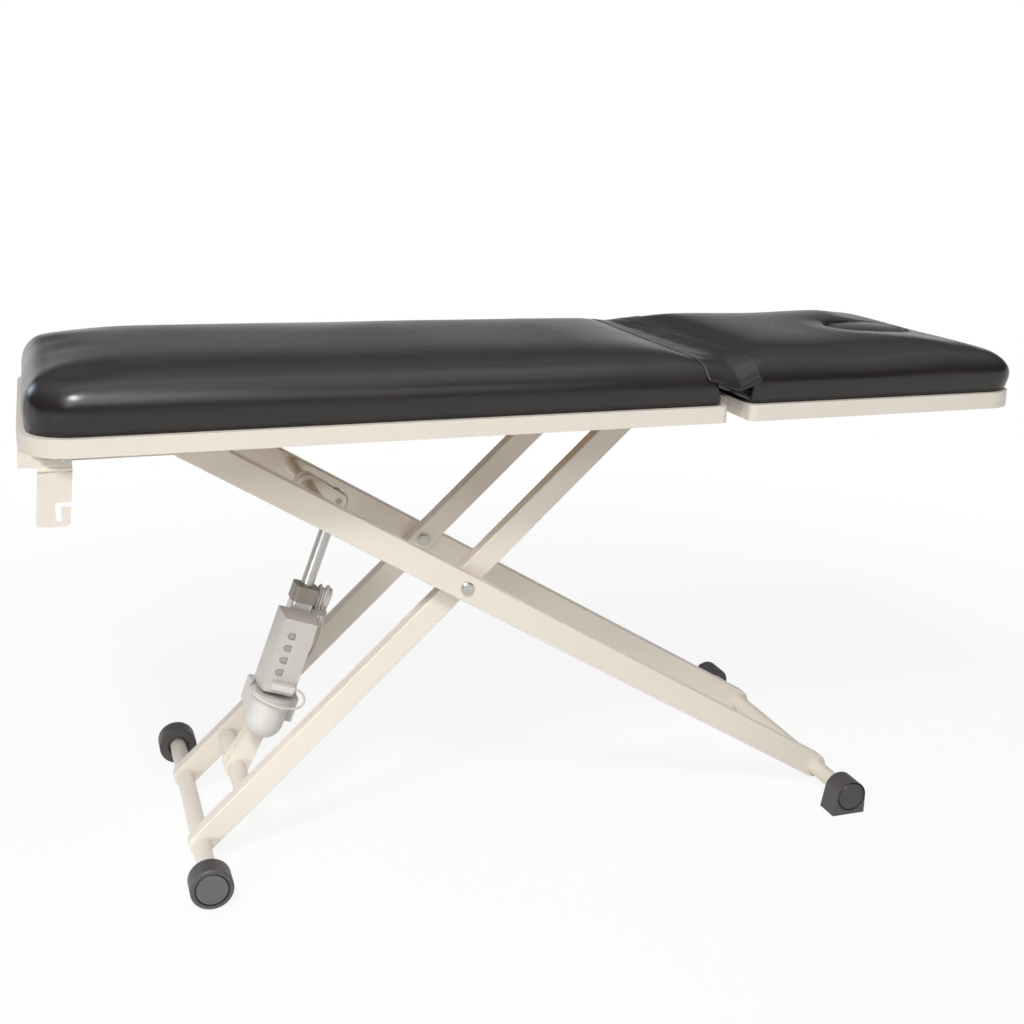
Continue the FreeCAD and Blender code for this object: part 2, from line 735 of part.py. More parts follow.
def large_radius(corner):
    """Rule for large corners: all walls share one centre."""
    return lambda inset: f"{corner} - ({inset})"


def small_radius(corner):
    """Rule for small corners: their radius shrinks with the inset but never closes."""
    return lambda inset: f"{corner} / (1 + ({inset}) / {corner})"


def make_top_structure():
    """Main and head rims, cross members, guide channels and pivot plates."""
    at_hinge = small_radius("hinge_corner_radius")
    rim("main_frame", "foot_end_x", "main_end_x", large_radius("end_corner_radius"), at_hinge)
    rim("head_frame", "head_start_x", "head_end_x", at_hinge, large_radius("head_corner_radius"))
    members = doc.addObject("Part::Compound", "cross_members")
    members.Links = [
        block(f"cross_member_{x}", (f"{x} - cross_member_width / 2", f"-{half}", "member_bottom_z"),
              ("cross_member_width", f"2 * {half}", "cross_member_height"))
        for x, half in (("foot_member_x", "foot_member_half"), ("middle_member_x", "member_half"),
                        ("pivot_member_x", "member_half"))]
    piece("cross_members", members)
    make_channels()
    make_pivot_plates()


def make_channels():
    """C-shaped guide channels for the rollers, open towards the legs."""
    low = "top_axis_z - channel_opening - channel_wall"
    profile = [
        ("-channel_outer_face", low), ("-channel_inner_face", low),
        ("-channel_inner_face", f"{low} + channel_wall"),
        ("channel_wall - channel_outer_face", f"{low} + channel_wall"),
        ("channel_wall - channel_outer_face", "channel_top_z - channel_wall"),
        ("-channel_inner_face", "channel_top_z - channel_wall"),
        ("-channel_inner_face", "member_bottom_z"), ("-channel_outer_face", "member_bottom_z")]
    start = "foot_member_x - cross_member_width / 2"
    length = "middle_member_x - foot_member_x + cross_member_width"
    pair("slide_channels", padded("slide_channel", "YZ_Plane", profile, start, length))


def make_pivot_plates():
    """Round-ended plates under the head-side cross member that carry the inner legs' top shaft."""
    def plate(name):
        reach = "pivot_member_x + cross_member_width / 2 - inner_top_x"
        arm = block(f"{name}_arm", ("inner_top_x", "-pivot_plate_outer", "top_axis_z - pivot_plate_half"),
                    (reach, "pivot_plate_thickness", "2 * pivot_plate_half"))
        boss = cylinder(f"{name}_boss", "y", ("inner_top_x", "-pivot_plate_outer", "top_axis_z"),
                        "pivot_plate_thickness", "pivot_plate_half")
        bore = cylinder(f"{name}_bore", "y", ("inner_top_x", "-pivot_plate_outer", "top_axis_z"),
                        "pivot_plate_thickness", "top_shaft_radius + running_clearance")
        return cut(name, fuse(f"{name}_solid", [arm, boss]), [bore])

    pair("pivot_plates", plate("pivot_plate"))


def make_roll_holder():
    """Folding hook plates for a paper roll, hinged on the end bar under the foot end."""
    bar = block("end_bar_body", ("foot_end_x", "-end_bar_half_length", "rim_bottom_z - end_bar_height"),
                ("end_bar_width", "2 * end_bar_half_length", "end_bar_height"))
    tab = block("end_bar_tab", ("roll_x", "-end_bar_half_length", "rim_bottom_z - roll_leaf_height"),
                ("roll_leaf_width", "roll_tab_thickness", "roll_leaf_height"))
    root = block("end_bar_root", ("roll_x - roll_tab_thickness", "-end_bar_half_length",
                                  "rim_bottom_z - roll_leaf_height"),
                 ("roll_tab_thickness", "roll_tab_thickness", "roll_leaf_height"))
    tab_pair = [tab, root, mirrored("end_bar_tab_far", tab), mirrored("end_bar_root_far", root)]
    piece("end_cross_bar", fuse("end_cross_bar", [bar, *tab_pair]))
    leaf_y = "-end_bar_half_length - roll_leaf_thickness"
    axis_y = f"{leaf_y} + roll_leaf_thickness / 2"

    def knuckle(name, x, length, low_z, height):
        barrel = cylinder(f"{name}_barrel", "x", (x, axis_y, "roll_barrel_z"), length, "roll_barrel_radius")
        web = block(f"{name}_web", (x, leaf_y, low_z), (length, "roll_leaf_thickness", height))
        return [barrel, web]

    def leaf(name):
        sheet_part = block(f"{name}_sheet", ("roll_x", leaf_y, "rim_bottom_z - roll_leaf_height"),
                           ("roll_leaf_width", "roll_leaf_thickness", "roll_leaf_height"))
        rise = "rim_bottom_z - roll_leaf_height - roll_barrel_z"
        knuckles = knuckle(f"{name}_left", "roll_x", "roll_knuckle", "roll_barrel_z", rise)
        knuckles += knuckle(f"{name}_right", "roll_x + roll_leaf_width - roll_knuckle", "roll_knuckle",
                            "roll_barrel_z", rise)
        pin = cylinder(f"{name}_pin", "x", ("roll_x", axis_y, "roll_barrel_z"), "roll_leaf_width",
                       "roll_pin_radius")
        return fuse(name, [sheet_part, *knuckles, pin])

    def hook(name):
        low_z = "roll_hook_top - roll_hook_length"
        points = [("roll_x", "roll_hook_top"), ("roll_x - roll_hook_rake", low_z),
                  ("roll_x + roll_leaf_width - roll_hook_rake", low_z),
                  ("roll_x + roll_leaf_width", "roll_hook_top")]
        plate = padded(f"{name}_plate", "XZ_Plane", points, "end_bar_half_length", "roll_leaf_thickness",
                       [((1, 2), "2 * roll_barrel_radius")])
        middle = knuckle(f"{name}_middle", "roll_x + roll_knuckle + roll_play",
                         "roll_leaf_width - 2 * roll_knuckle - 2 * roll_play", "roll_hook_top",
                         "roll_barrel_z - roll_hook_top")
        slot_low = f"{low_z} + roll_slot_bottom + roll_slot_width / 2"
        slot_deep = f"{leaf_y} - roll_leaf_thickness"
        through = "3 * roll_leaf_thickness"
        rest = cylinder(f"{name}_slot_rest", "y", ("roll_slot_x", slot_deep, slot_low), through,
                        "roll_slot_width / 2")
        drop = block(f"{name}_slot_drop", ("roll_slot_x - roll_slot_width / 2", slot_deep, slot_low),
                     ("roll_slot_width", through, "roll_slot_height - roll_slot_width / 2"))
        entry = block(f"{name}_slot_entry",
                      ("roll_slot_x", slot_deep, f"{slot_low} + roll_slot_height - 3 * roll_slot_width / 2"),
                      ("roll_leaf_width", through, "roll_slot_width"))
        body = fuse(f"{name}_solid", [plate, *middle])
        bore = cylinder(f"{name}_bore", "x", ("roll_x", axis_y, "roll_barrel_z"), "roll_leaf_width",
                        "roll_pin_radius + running_clearance")
        return cut(name, body, [bore, rest, drop, entry])

    pair("roll_leaves", leaf("roll_leaf"))
    both_sides("roll_hook", hook)
    screws = doc.addObject("Part::Compound", "roll_leaf_screw_pair")
    screws.Links = [
        cylinder(f"roll_screw_{index}", "y",
                 (f"roll_x + roll_leaf_width * {share}", f"{leaf_y} - roll_screw_height",
                  "rim_bottom_z - roll_leaf_height / 2"), "roll_screw_height", "roll_screw_radius")
        for index, share in enumerate(("1 / 4", "3 / 4"))]
    pair("roll_leaf_screws", screws)


def make_head_hinge():
    """Hinge arms of the head section in the gap between the two rims."""
    def arm(name, face_x, side, outside):
        flange_low = "rim_bottom_z + rim_wall"
        near_face = f"{face_x} + ({side}) * hinge_flange_thickness"
        flange_x = face_x if side == "1" else near_face
        flange = block(f"{name}_flange", (flange_x, "-hinge_ear_side - hinge_flange_width / 2", flange_low),
                       ("hinge_flange_thickness", "hinge_flange_width", "hinge_flange_height"))
        points = [(near_face, flange_low), ("hinge_x", "hinge_z - hinge_ear_radius"),
                  ("hinge_x", "hinge_z + hinge_ear_radius"),
                  (near_face, f"{flange_low} + hinge_flange_height")]
        inner_face = f"{outside} - hinge_ear_thickness"
        web = padded(f"{name}_web", "XZ_Plane", points, inner_face, "hinge_ear_thickness")
        eye = cylinder(f"{name}_eye", "y", ("hinge_x", f"-({outside})", "hinge_z"), "hinge_ear_thickness",
                       "hinge_ear_radius")
        bore = cylinder(f"{name}_bore", "y", ("hinge_x", f"-({outside})", "hinge_z"), "hinge_ear_thickness",
                        "hinge_pin_radius + running_clearance")
        return cut(name, fuse(f"{name}_solid", [flange, web, eye]), [bore])

    main_outside = "hinge_ear_side + hinge_ear_thickness + roll_play / 2"
    head_outside = "hinge_ear_side - roll_play / 2"
    pair("main_hinge_arms", arm("main_hinge_arm", "main_end_x", "1", main_outside))
    pair("head_hinge_arms", arm("head_hinge_arm", "head_start_x", "-1", head_outside))
    pin = cylinder("hinge_pin", "y", ("hinge_x", f"-({main_outside})", "hinge_z"),
                   "2 * hinge_ear_thickness + roll_play", "hinge_pin_radius")
    pair("hinge_pins", pin)


def rounded_wire(low_x, high_x, half_width, low_radius, high_radius, z):
    """Outline of lines and quarter arcs: a rectangle with one radius at each end."""
    edges = []
    corners = [(high_x, -half_width, high_radius, 270), (high_x, half_width, high_radius, 0),
               (low_x, half_width, low_radius, 90), (low_x, -half_width, low_radius, 180)]
    ends = []
    for x, y, radius, start in corners:
        centre = Vector(x - math.copysign(radius, x - (low_x + high_x) / 2), y - math.copysign(radius, y), z)
        angles = [math.radians(start + step) for step in (0, 45, 90)]
        points = [centre + Vector(radius * math.cos(a), radius * math.sin(a), 0) for a in angles]
        ends.append(points)
    for index, points in enumerate(ends):
        edges.append(Part.Arc(*points).toShape())
        edges.append(Part.LineSegment(points[2], ends[(index + 1) % 4][0]).toShape())
    return Part.Wire(edges)


def cushion_levels():
    """Inset and height of each level of a cushion: tucked sides, rolled edge, then a low crown."""
    bottom = value("cushion_bottom_z")
    side = bottom + value("cushion_side_height")
    edge = bottom + value("cushion_height")
    roll = value("cushion_roll")
    levels = [(value("cushion_tuck"), bottom)]
    for step in range(CUSHION_ROLL_STEPS + 1):
        turn = math.radians(90 * step / CUSHION_ROLL_STEPS)
        levels.append((roll * (1 - math.cos(turn)), side + (edge - side) * math.sin(turn)))
    crown_reach = value("side_half") / 2
    for step in range(1, CUSHION_CROWN_STEPS + 1):
        share = step / CUSHION_CROWN_STEPS
        levels.append((roll + crown_reach * share, edge + value("cushion_crown") * (1 - (1 - share) ** 2)))
    return levels


def hinge_pull(inset, z, slope):
    """How far a level of a cushion stands back from its hinge edge."""
    roll = value("cushion_roll")
    rounded = value("cushion_hinge_roll") * min(inset, roll) / roll + max(inset - roll, 0)
    lean = slope * (z - value("cushion_bottom_z")) / value("cushion_height")
    return rounded + min(lean, slope)


def cushion_shape(end_x, end_corner, hinge_edge_x, slope):
    """Soft cushion between its free end and its hinge edge, which may lean back by a slope."""
    towards_hinge = math.copysign(1, hinge_edge_x - end_x)
    half = value("side_half - cushion_side_inset")
    wires = []
    for inset, z in cushion_levels():
        shrink = 1 - inset / half
        low = end_x + towards_hinge * inset
        high = hinge_edge_x - towards_hinge * hinge_pull(inset, z, slope)
        radii = [end_corner * shrink, value("hinge_corner_radius") * shrink]
        if towards_hinge < 0:
            low, high = high, low
            radii.reverse()
        wires.append(rounded_wire(low, high, half - inset, *radii, z))
    return Part.makeLoft(wires, True, True)


def board_solid(low_x, high_x, radii, grow):
    """Plywood board, or the pocket for it when grown by a clearance."""
    inset = value("board_inset") - grow
    half = value("side_half") - inset
    base = value("rim_top_z")
    wire = rounded_wire(low_x + inset, high_x - inset, half, *radii, base)
    return Part.Face(wire).extrude(Vector(0, 0, value("board_thickness") + grow))


def face_hole(shrink, drop):
    """Upright oval prism of the face hole, or of its plug when shrunk and lowered."""
    along = value("face_hole_length") / 2 - shrink
    across = value("face_hole_width") / 2 - shrink
    height = value("cushion_bottom_gap + cushion_height + cushion_crown") - drop
    centre = Vector(value("face_hole_x"), 0, value("rim_top_z"))
    oval = Part.Ellipse(centre, max(along, across), min(along, across)).toShape()
    if across > along:
        oval.rotate(centre, Vector(0, 0, 1), 90)
    return Part.Face(Part.Wire(oval)).extrude(Vector(0, 0, height))


def feature(label, shape):
    """Piece whose shape is worked out from the sheet's numbers."""
    thing = doc.addObject("Part::Feature", label)
    thing.Shape = shape
    return piece(label, thing)


def make_cushions():
    """Boards, upholstered cushions, the face-hole plug and the flap over the hinge gap."""
    foot_corner = value("end_corner_radius - board_inset")
    head_corner = value("head_corner_radius - board_inset")
    small = value("hinge_corner_radius / 2")
    grow = value("board_clearance")
    main_span = (value("foot_end_x"), value("main_end_x"))
    head_span = (value("head_start_x"), value("head_end_x"))
    setback = value("cushion_hinge_setback")
    hole = face_hole(0, -1)
    feature("main_board", board_solid(*main_span, (foot_corner, small), 0))
    feature("head_board", board_solid(*head_span, (small, head_corner), 0).cut(hole))
    main = cushion_shape(main_span[0] + value("cushion_foot_inset"), value("end_corner_radius"),
                         main_span[1] - setback, value("cushion_hinge_slope"))
    head = cushion_shape(head_span[1] + value("head_overhang"), value("head_cushion_radius"),
                         head_span[0] + setback, 0)
    feature("main_cushion", main.cut(board_solid(*main_span, (foot_corner, small), grow)))
    feature("head_cushion", head.cut(board_solid(*head_span, (small, head_corner), grow)).cut(hole))
    feature("face_plug", face_hole(value("plug_clearance"), value("plug_drop")))
    feature("gap_flap", flap_shape())


def rolled_levels():
    """Inset and height of the levels of the cushions' rolled edge."""
    return cushion_levels()[1:CUSHION_ROLL_STEPS + 2]


def cushion_edge_z(inset):
    """Height of the rolled cushion edge at a distance in from the cushion's side."""
    levels = rolled_levels()
    for (outer, low), (inner, high) in zip(levels, levels[1:]):
        if outer <= inset <= inner:
            return low + (high - low) * (inset - outer) / (inner - outer)
    return levels[-1][1]


def flap_shape():
    """Vinyl strip that sags between the two cushions and follows their rolled edges."""
    half = value("side_half - cushion_side_inset")
    end_inset = value("flap_end_inset")
    insets = [end_inset] + [inset for inset, _ in rolled_levels() if inset > end_inset]
    stations = [(inset - half, inset) for inset in insets]
    stations += [(half - inset, inset) for inset in reversed(insets)]
    main_edge = value("main_end_x - cushion_hinge_setback")
    head_edge = value("head_start_x + cushion_hinge_setback")
    fold_x = value("hinge_x + flap_fold_shift")
    thick = value("flap_thickness")
    wires = []
    for y, inset in stations:
        seat = cushion_edge_z(inset)
        top = seat + value("flap_clearance")
        main_lip = main_edge - hinge_pull(inset, seat, value("cushion_hinge_slope"))
        head_lip = head_edge + hinge_pull(inset, seat, 0)
        corners = [(value("flap_main_x"), top), (main_lip, top), (fold_x, top - value("flap_sag")),
                   (head_lip, top), (value("flap_head_x"), top)]
        corners += [(x, z + thick) for x, z in reversed(corners)]
        points = [Vector(x, y, z) for x, z in corners]
        wires.append(Part.makePolygon([*points, points[0]]))
    return Part.makeLoft(wires, True, True)


def make_brackets():
    """Bracket ears on the two actuator cross tubes, with the lower pin."""
    def ears(name, tube, tube_radius, pin, hole_radius, hub_radius, inner_face):
        span_x = f"({pin[0]} - {tube[0]})"
        span_z = f"({pin[1]} - {tube[1]})"
        reach = f"sqrt({span_x} ^ 2 + {span_z} ^ 2)"
        side_x = f"({hub_radius} - bracket_eye_radius) / {reach}"
        side_z = f"sqrt(1 - ({side_x}) ^ 2)"
        points = [(f"{hub_radius} * {side_x}", f"{hub_radius} * {side_z}"),
                  (f"{hub_radius} * {side_x}", f"-{hub_radius} * {side_z}"),
                  (f"{reach} + bracket_eye_radius * {side_x}", f"-bracket_eye_radius * {side_z}"),
                  (f"{reach} + bracket_eye_radius * {side_x}", f"bracket_eye_radius * {side_z}")]
        outside = f"{inner_face} + bracket_thickness"
        web = padded(f"{name}_web", "XZ_Plane", points, inner_face, "bracket_thickness")
        face_y = f"-({outside})"
        rounds = [cylinder(f"{name}_round_{index}", "y", (x, face_y, "0"), "bracket_thickness", radius)
                  for index, (x, radius) in enumerate((("0", hub_radius), (reach, "bracket_eye_radius")))]
        bores = [cylinder(f"{name}_bore_{index}", "y", (x, face_y, "0"), "bracket_thickness", radius)
                 for index, (x, radius) in enumerate((("0", tube_radius), (reach, hole_radius)))]
        ear = cut(f"{name}_ear", fuse(f"{name}_solid", [web, *rounds]), bores)
        return place(ear, tube[0], "0", tube[1], angle=f"-atan2({span_z}; {span_x})")

    pin_hole = "actuator_pin_radius + running_clearance"
    base = ears("base_bracket", ("base_tube_x", "base_tube_z"), "base_tube_radius + running_clearance",
                ("base_pin_x", "base_pin_z"), pin_hole, "base_bracket_radius", "base_ear_face")
    pair("base_bracket", base)
    rod = ears("rod_bracket", ("rod_tube_x", "rod_tube_z"), "rod_tube_radius + running_clearance",
               ("rod_pin_x", "rod_pin_z"), pin_hole, "rod_bracket_radius", "base_ear_face")
    pair("rod_bracket", rod)
    half = "base_ear_face + bracket_thickness + shaft_overhang"
    for label, x, z in (("base_pin", "base_pin_x", "base_pin_z"), ("rod_pin", "rod_pin_x", "rod_pin_z")):
        pin = cylinder(label, "y", (x, f"-({half})", z), f"2 * ({half})", "actuator_pin_radius")
        piece(label, pin)


def rounded_square(name, side, radius, low_z, length):
    """Square section with rounded corners, along the actuator."""
    low = f"-{side} / 2"
    high = f"{side} / 2"
    points = [(low, low), (high, low), (high, high), (low, high)]
    return padded(name, "XY_Plane", points, low_z, length, [((0, 1, 2, 3), radius)])


def make_actuator():
    """Linear actuator: gear and motor housing, guide tube, collar, screw, nut and push rod."""
    eye_width = "2 * eye_half_width"
    eye = cylinder("housing_eye", "y", ("0", "-eye_half_width", "0"), eye_width, "bracket_eye_radius")
    neck = block("housing_neck", ("-bracket_eye_radius", "-eye_half_width", "0"),
                 ("2 * bracket_eye_radius", eye_width, "gearbox_bottom"))
    gearbox = block("housing_gearbox", ("-gearbox_half_width", "-motor_offset", "gearbox_bottom"),
                    ("2 * gearbox_half_width", "motor_offset + gearbox_back", "gearbox_height"))
    motor_low = "motor_dome_bottom + motor_radius"
    barrel = cylinder("housing_barrel", "z", ("motor_x", "-motor_offset", motor_low),
                      f"gearbox_top - ({motor_low})", "motor_radius")
    dome = doc.addObject("Part::Sphere", "housing_dome")
    bind(dome, "Radius", "motor_radius")
    place(dome, "motor_x", "-motor_offset", motor_low)
    gland = cylinder("housing_gland", "z", ("gland_x", "gland_y", "gearbox_top"), "gland_height",
                     "gland_radius")
    pin_bore = cylinder("housing_pin_bore", "y", ("0", "-eye_half_width", "0"), eye_width,
                        "actuator_pin_radius + running_clearance")
    core_low = "gearbox_top - leg_wall - motor_core_length"
    core_room = cylinder("housing_core_room", "z", ("motor_x", "-motor_offset", core_low),
                         "motor_core_length", "motor_core_radius")
    screw_low = "gearbox_top - motor_core_length / 2"
    screw_seat = cylinder("housing_screw_seat", "z", ("0", "0", screw_low), "motor_core_length / 2",
                          "screw_radius + running_clearance")
    shell = fuse("housing_shell", [eye, neck, gearbox, barrel, dome, gland])
    piece("motor_housing", on_actuator(cut("motor_housing", shell, [pin_bore, core_room, screw_seat])))
    core = cylinder("motor_body", "z", ("motor_x", "-motor_offset", core_low), "motor_core_length",
                    "motor_core_radius - running_clearance")
    carried("motor", core)
    screw = cylinder("screw_body", "z", ("0", "0", screw_low), f"collar_top - screw_top_gap - ({screw_low})",
                     "screw_radius")
    carried("lift_screw", screw)
    tube = rounded_square("tube_body", "tube_side", "tube_corner_radius", "gearbox_top", "tube_length")
    tube_bore = cylinder("tube_bore", "z", ("0", "0", "gearbox_top"), "tube_length", "tube_bore_radius")
    piece("actuator_tube", on_actuator(cut("actuator_tube", tube, [tube_bore])))
    collar = rounded_square("collar_body", "collar_side", "collar_corner_radius", "tube_top", "collar_length")
    collar_bore = cylinder("collar_bore", "z", ("0", "0", "tube_top"), "collar_length",
                           "rod_radius + running_clearance")
    piece("guide_collar", on_actuator(cut("guide_collar", collar, [collar_bore])))
    make_rod()


def carried(label, shape):
    """Piece of the actuator made of one simple shape."""
    group = doc.addObject("Part::Compound", label)
    group.Links = [shape]
    return piece(label, on_actuator(group))


def make_rod():
    """Push rod with its drive nut, its eye and the upper pin."""
    nut = cylinder("nut_body", "z", ("0", "0", "nut_bottom"), "nut_length", "nut_radius")
    nut_bore = cylinder("nut_bore", "z", ("0", "0", "nut_bottom"), "nut_length",
                        "screw_radius + running_clearance")
    piece("drive_nut", on_actuator(cut("drive_nut", nut, [nut_bore])))
    rod = cylinder("rod_body", "z", ("0", "0", "nut_top"), "rod_top - nut_top", "rod_radius")
    rod_bore = cylinder("rod_bore", "z", ("0", "0", "nut_top"), "rod_top - nut_top", "rod_bore_radius")
    piece("push_rod", on_actuator(cut("push_rod", rod, [rod_bore])))
    neck_length = "rod_end_length - actuator_pin_radius - rod_eye_play - bracket_side_play"
    neck = cylinder("rod_end_neck", "z", ("0", "0", "rod_top"), neck_length, "rod_neck_radius")
    eye = cylinder("rod_end_eye", "y", ("0", "-eye_half_width", "actuator_length"), "2 * eye_half_width",
                   "rod_eye_radius")
    bore = cylinder("rod_end_bore", "y", ("0", "-eye_half_width", "actuator_length"), "2 * eye_half_width",
                    "actuator_pin_radius + rod_eye_play")
    piece("rod_end", on_actuator(cut("rod_end", fuse("rod_end_solid", [neck, eye]), [bore])))


def make_control_box():
    """Control box on the guide tube: back plate, tapered cover with sockets, and the plug in the lowest."""
    points = [("box_x - box_half_width", "box_top"), ("box_x - box_half_width", "box_bottom + box_shoulder"),
              ("box_x - box_foot_half_width", "box_bottom"), ("box_x + box_foot_half_width", "box_bottom"),
              ("box_x + box_half_width", "box_bottom + box_shoulder"), ("box_x + box_half_width", "box_top")]
    back = padded("box_back_body", "XZ_Plane", points, "box_back_face", "box_back_thickness")
    carried("control_box_back", back)
    cover = padded("box_cover_body", "XZ_Plane", points, "box_joint", "box_cover_depth")
    cover.Tip.TaperAngle = -value("box_taper")
    bind(cover.Tip, "TaperAngle", "-box_taper")
    doc.recompute()
    sockets = []
    for index in range(SOCKET_COUNT):
        z = f"lowest_socket_z + {index} * socket_pitch"
        square = block(f"socket_square_{index}", ("socket_x", "-box_front", f"{z} - socket_height / 2"),
                       ("socket_width / 2", "socket_depth", "socket_height"))
        round_end = cylinder(f"socket_round_{index}", "y", ("socket_x", "-box_front", z), "socket_depth",
                             "socket_height / 2")
        sockets += [square, round_end]
    piece("control_box_cover", on_actuator(cut("control_box_cover", cover, sockets)))
    nose_low = "lowest_socket_z - socket_height / 2 + plug_play"
    nose_square = block("plug_nose_square", ("socket_x", "-box_front", nose_low),
                        ("socket_width / 2 - plug_play", "socket_depth - plug_play",
                         "socket_height - 2 * plug_play"))
    nose_round = cylinder("plug_nose_round", "y", ("socket_x", "-box_front", "lowest_socket_z"),
                          "socket_depth - plug_play", "socket_height / 2 - plug_play")
    body = block("plug_body", ("socket_x - socket_width / 2", "-box_front - plug_body_depth",
                               "lowest_socket_z - plug_body_height / 2"),
                 ("plug_body_length", "plug_body_depth", "plug_body_height"))
    piece("lead_plug", on_actuator(fuse("lead_plug", [nose_square, nose_round, body])))


def straight_and_arcs(points):
    """Cord route: straight runs joined by tangent arcs as large as the two runs allow."""
    edges = []
    radii = []
    start = points[0]
    for before, corner, after in zip(points, points[1:], points[2:]):
        arriving = (corner - before).normalize()
        leaving = (after - corner).normalize()
        turn = arriving.getAngle(leaving)
        setback = CORD_BEND_SHARE * min((corner - before).Length, (after - corner).Length)
        radius = setback / math.tan(turn / 2)
        radii.append(radius)
        first = corner - arriving * setback
        last = corner + leaving * setback
        inward = (leaving - arriving).normalize()
        middle = corner + inward * (radius / math.cos(turn / 2) - radius)
        edges.append(Part.LineSegment(start, first).toShape())
        edges.append(Part.Arc(first, middle, last).toShape())
        start = last
    edges.append(Part.LineSegment(start, points[-1]).toShape())
    return Part.Wire(edges), radii


def tube_along(wire, radius):
    """Round cord along a route that starts in a known direction."""
    start = wire.Edges[0]
    direction = start.tangentAt(start.FirstParameter)
    circle = Part.Wire(Part.Circle(start.valueAt(start.FirstParameter), direction, radius).toShape())
    solid = wire.makePipeShell([circle], True, False)
    expected = math.pi * radius ** 2 * wire.Length
    print(f"cord volume over section times length: {solid.Volume / expected:.4f}")
    return solid


def actuator_placement():
    """Placement of the slanted actuator frame."""
    turn = FreeCAD.Rotation(Vector(0, 1, 0), value("actuator_angle"))
    return FreeCAD.Placement(Vector(value("base_pin_x"), 0, value("base_pin_z")), turn)


def hank_wire():
    """Tied hank: loops side by side, drawn in at the waist, each climbing along its falling run."""
    low = value("hank_bottom")
    high = low + value("hank_length")
    middle = (low + high) / 2
    wide = value("hank_end_radius")
    narrow = value("hank_waist_radius")
    pitch = value("hank_pitch")
    edges = []

    def bend(start, end):
        """Two arcs of equal radius between points whose directions are both along the hank."""
        half = (start + end) / 2
        offset = end - start
        along = Vector(0, 0, offset.z)
        across = offset - along
        for first, last, sign in ((start, half, 1), (half, end, -1)):
            chord = last - first
            bulge = chord.Length * math.tan(math.atan2(across.Length, along.Length) / 2) / 2
            normal = (along.normalize() * across.Length - across.normalize() * abs(offset.z)).normalize()
            along = Vector(0, 0, offset.z)
            across = offset - along
            edges.append(Part.Arc(first, (first + last) / 2 + normal * bulge * sign, last).toShape())

    def turn_end(start, end, rise):
        top = (start + end) / 2 + Vector(0, 0, rise)
        edges.append(Part.Arc(start, top, end).toShape())

    for loop in range(HANK_LOOPS):
        x = value("hank_x") + loop * pitch
        rising_low = Vector(x, wide, low)
        bend(rising_low, Vector(x, narrow, middle))
        bend(Vector(x, narrow, middle), Vector(x, wide, high))
        turn_end(Vector(x, wide, high), Vector(x, -wide, high), wide)
        bend(Vector(x, -wide, high), Vector(x + pitch / 2, -narrow, middle))
        bend(Vector(x + pitch / 2, -narrow, middle), Vector(x + pitch, -wide, low))
        if loop < HANK_LOOPS - 1:
            turn_end(Vector(x + pitch, -wide, low), Vector(x + pitch, wide, low), -wide)
    return Part.Wire(edges)


def least_gap(wire, radius):
    """Smallest clear gap of a wound tube to itself, measured on points."""
    count = int(wire.Length / radius)
    points = wire.discretize(count)
    apart = int(4 * math.pi)
    best = math.inf
    for index, point in enumerate(points):
        for other in points[index + apart:]:
            best = min(best, point.distanceToPoint(other) - 2 * radius)
    return best


def make_lead():
    """Lead from the plug round the housing to the hank, the hank itself and its tail to the gland."""
    radius = value("lead_radius")
    plug_z = value("lowest_socket_z")
    plug_x = value("plug_end_x")
    plug_y = value("plug_middle_y")
    hank_start = Vector(value("hank_x"), value("hank_end_radius"), value("hank_bottom"))
    route = [Vector(plug_x, plug_y, plug_z), *(Vector(*point) for point in LEAD_ROUTE), hank_start]
    wire, radii = straight_and_arcs(route)
    print("lead radii over diameter:", " ".join(f"{r / (2 * radius):.1f}" for r in radii))
    feature("lead", tube_along(wire, radius)).Placement = actuator_placement()
    loops = hank_wire()
    print(f"hank least gap: {least_gap(loops, radius):.2f}")
    feature("hank", tube_along(loops, radius)).Placement = actuator_placement()
    tail_top = Vector(value("hank_x") + HANK_LOOPS * value("hank_pitch"), -hank_start.y, hank_start.z)
    gland = Vector(value("gland_x"), value("gland_y"), value("gearbox_top + gland_height"))
    tail = [tail_top, *(tail_top + Vector(x, 0, z) for x, z in TAIL_DROPS)]
    tail += [gland + Vector(TAIL_END[0], 0, TAIL_END[1]), gland]
    wire, radii = straight_and_arcs(tail)
    print("tail radii over diameter:", " ".join(f"{r / (2 * radius):.1f}" for r in radii))
    feature("lead_tail", tube_along(wire, radius)).Placement = actuator_placement()
    make_tie()


def make_tie():
    """Plastic tie round the waist of the hank."""
    half_y = "hank_waist_radius + lead_radius + hank_tie_play"
    low_x = "hank_x - lead_radius - hank_tie_play"
    span_x = f"{HANK_LOOPS} * hank_pitch - hank_pitch / 2 + 2 * lead_radius + 2 * hank_tie_play"
    low_z = "hank_bottom + hank_length / 2 - hank_tie_height / 2"
    outer = block("tie_outer", (f"{low_x} - hank_tie_wall", f"-({half_y}) - hank_tie_wall", low_z),
                  (f"{span_x} + 2 * hank_tie_wall", f"2 * ({half_y}) + 2 * hank_tie_wall", "hank_tie_height"))
    inner = block("tie_inner", (low_x, f"-({half_y})", low_z), (span_x, f"2 * ({half_y})", "hank_tie_height"))
    piece("hank_tie", on_actuator(cut("hank_tie", outer, [inner])))


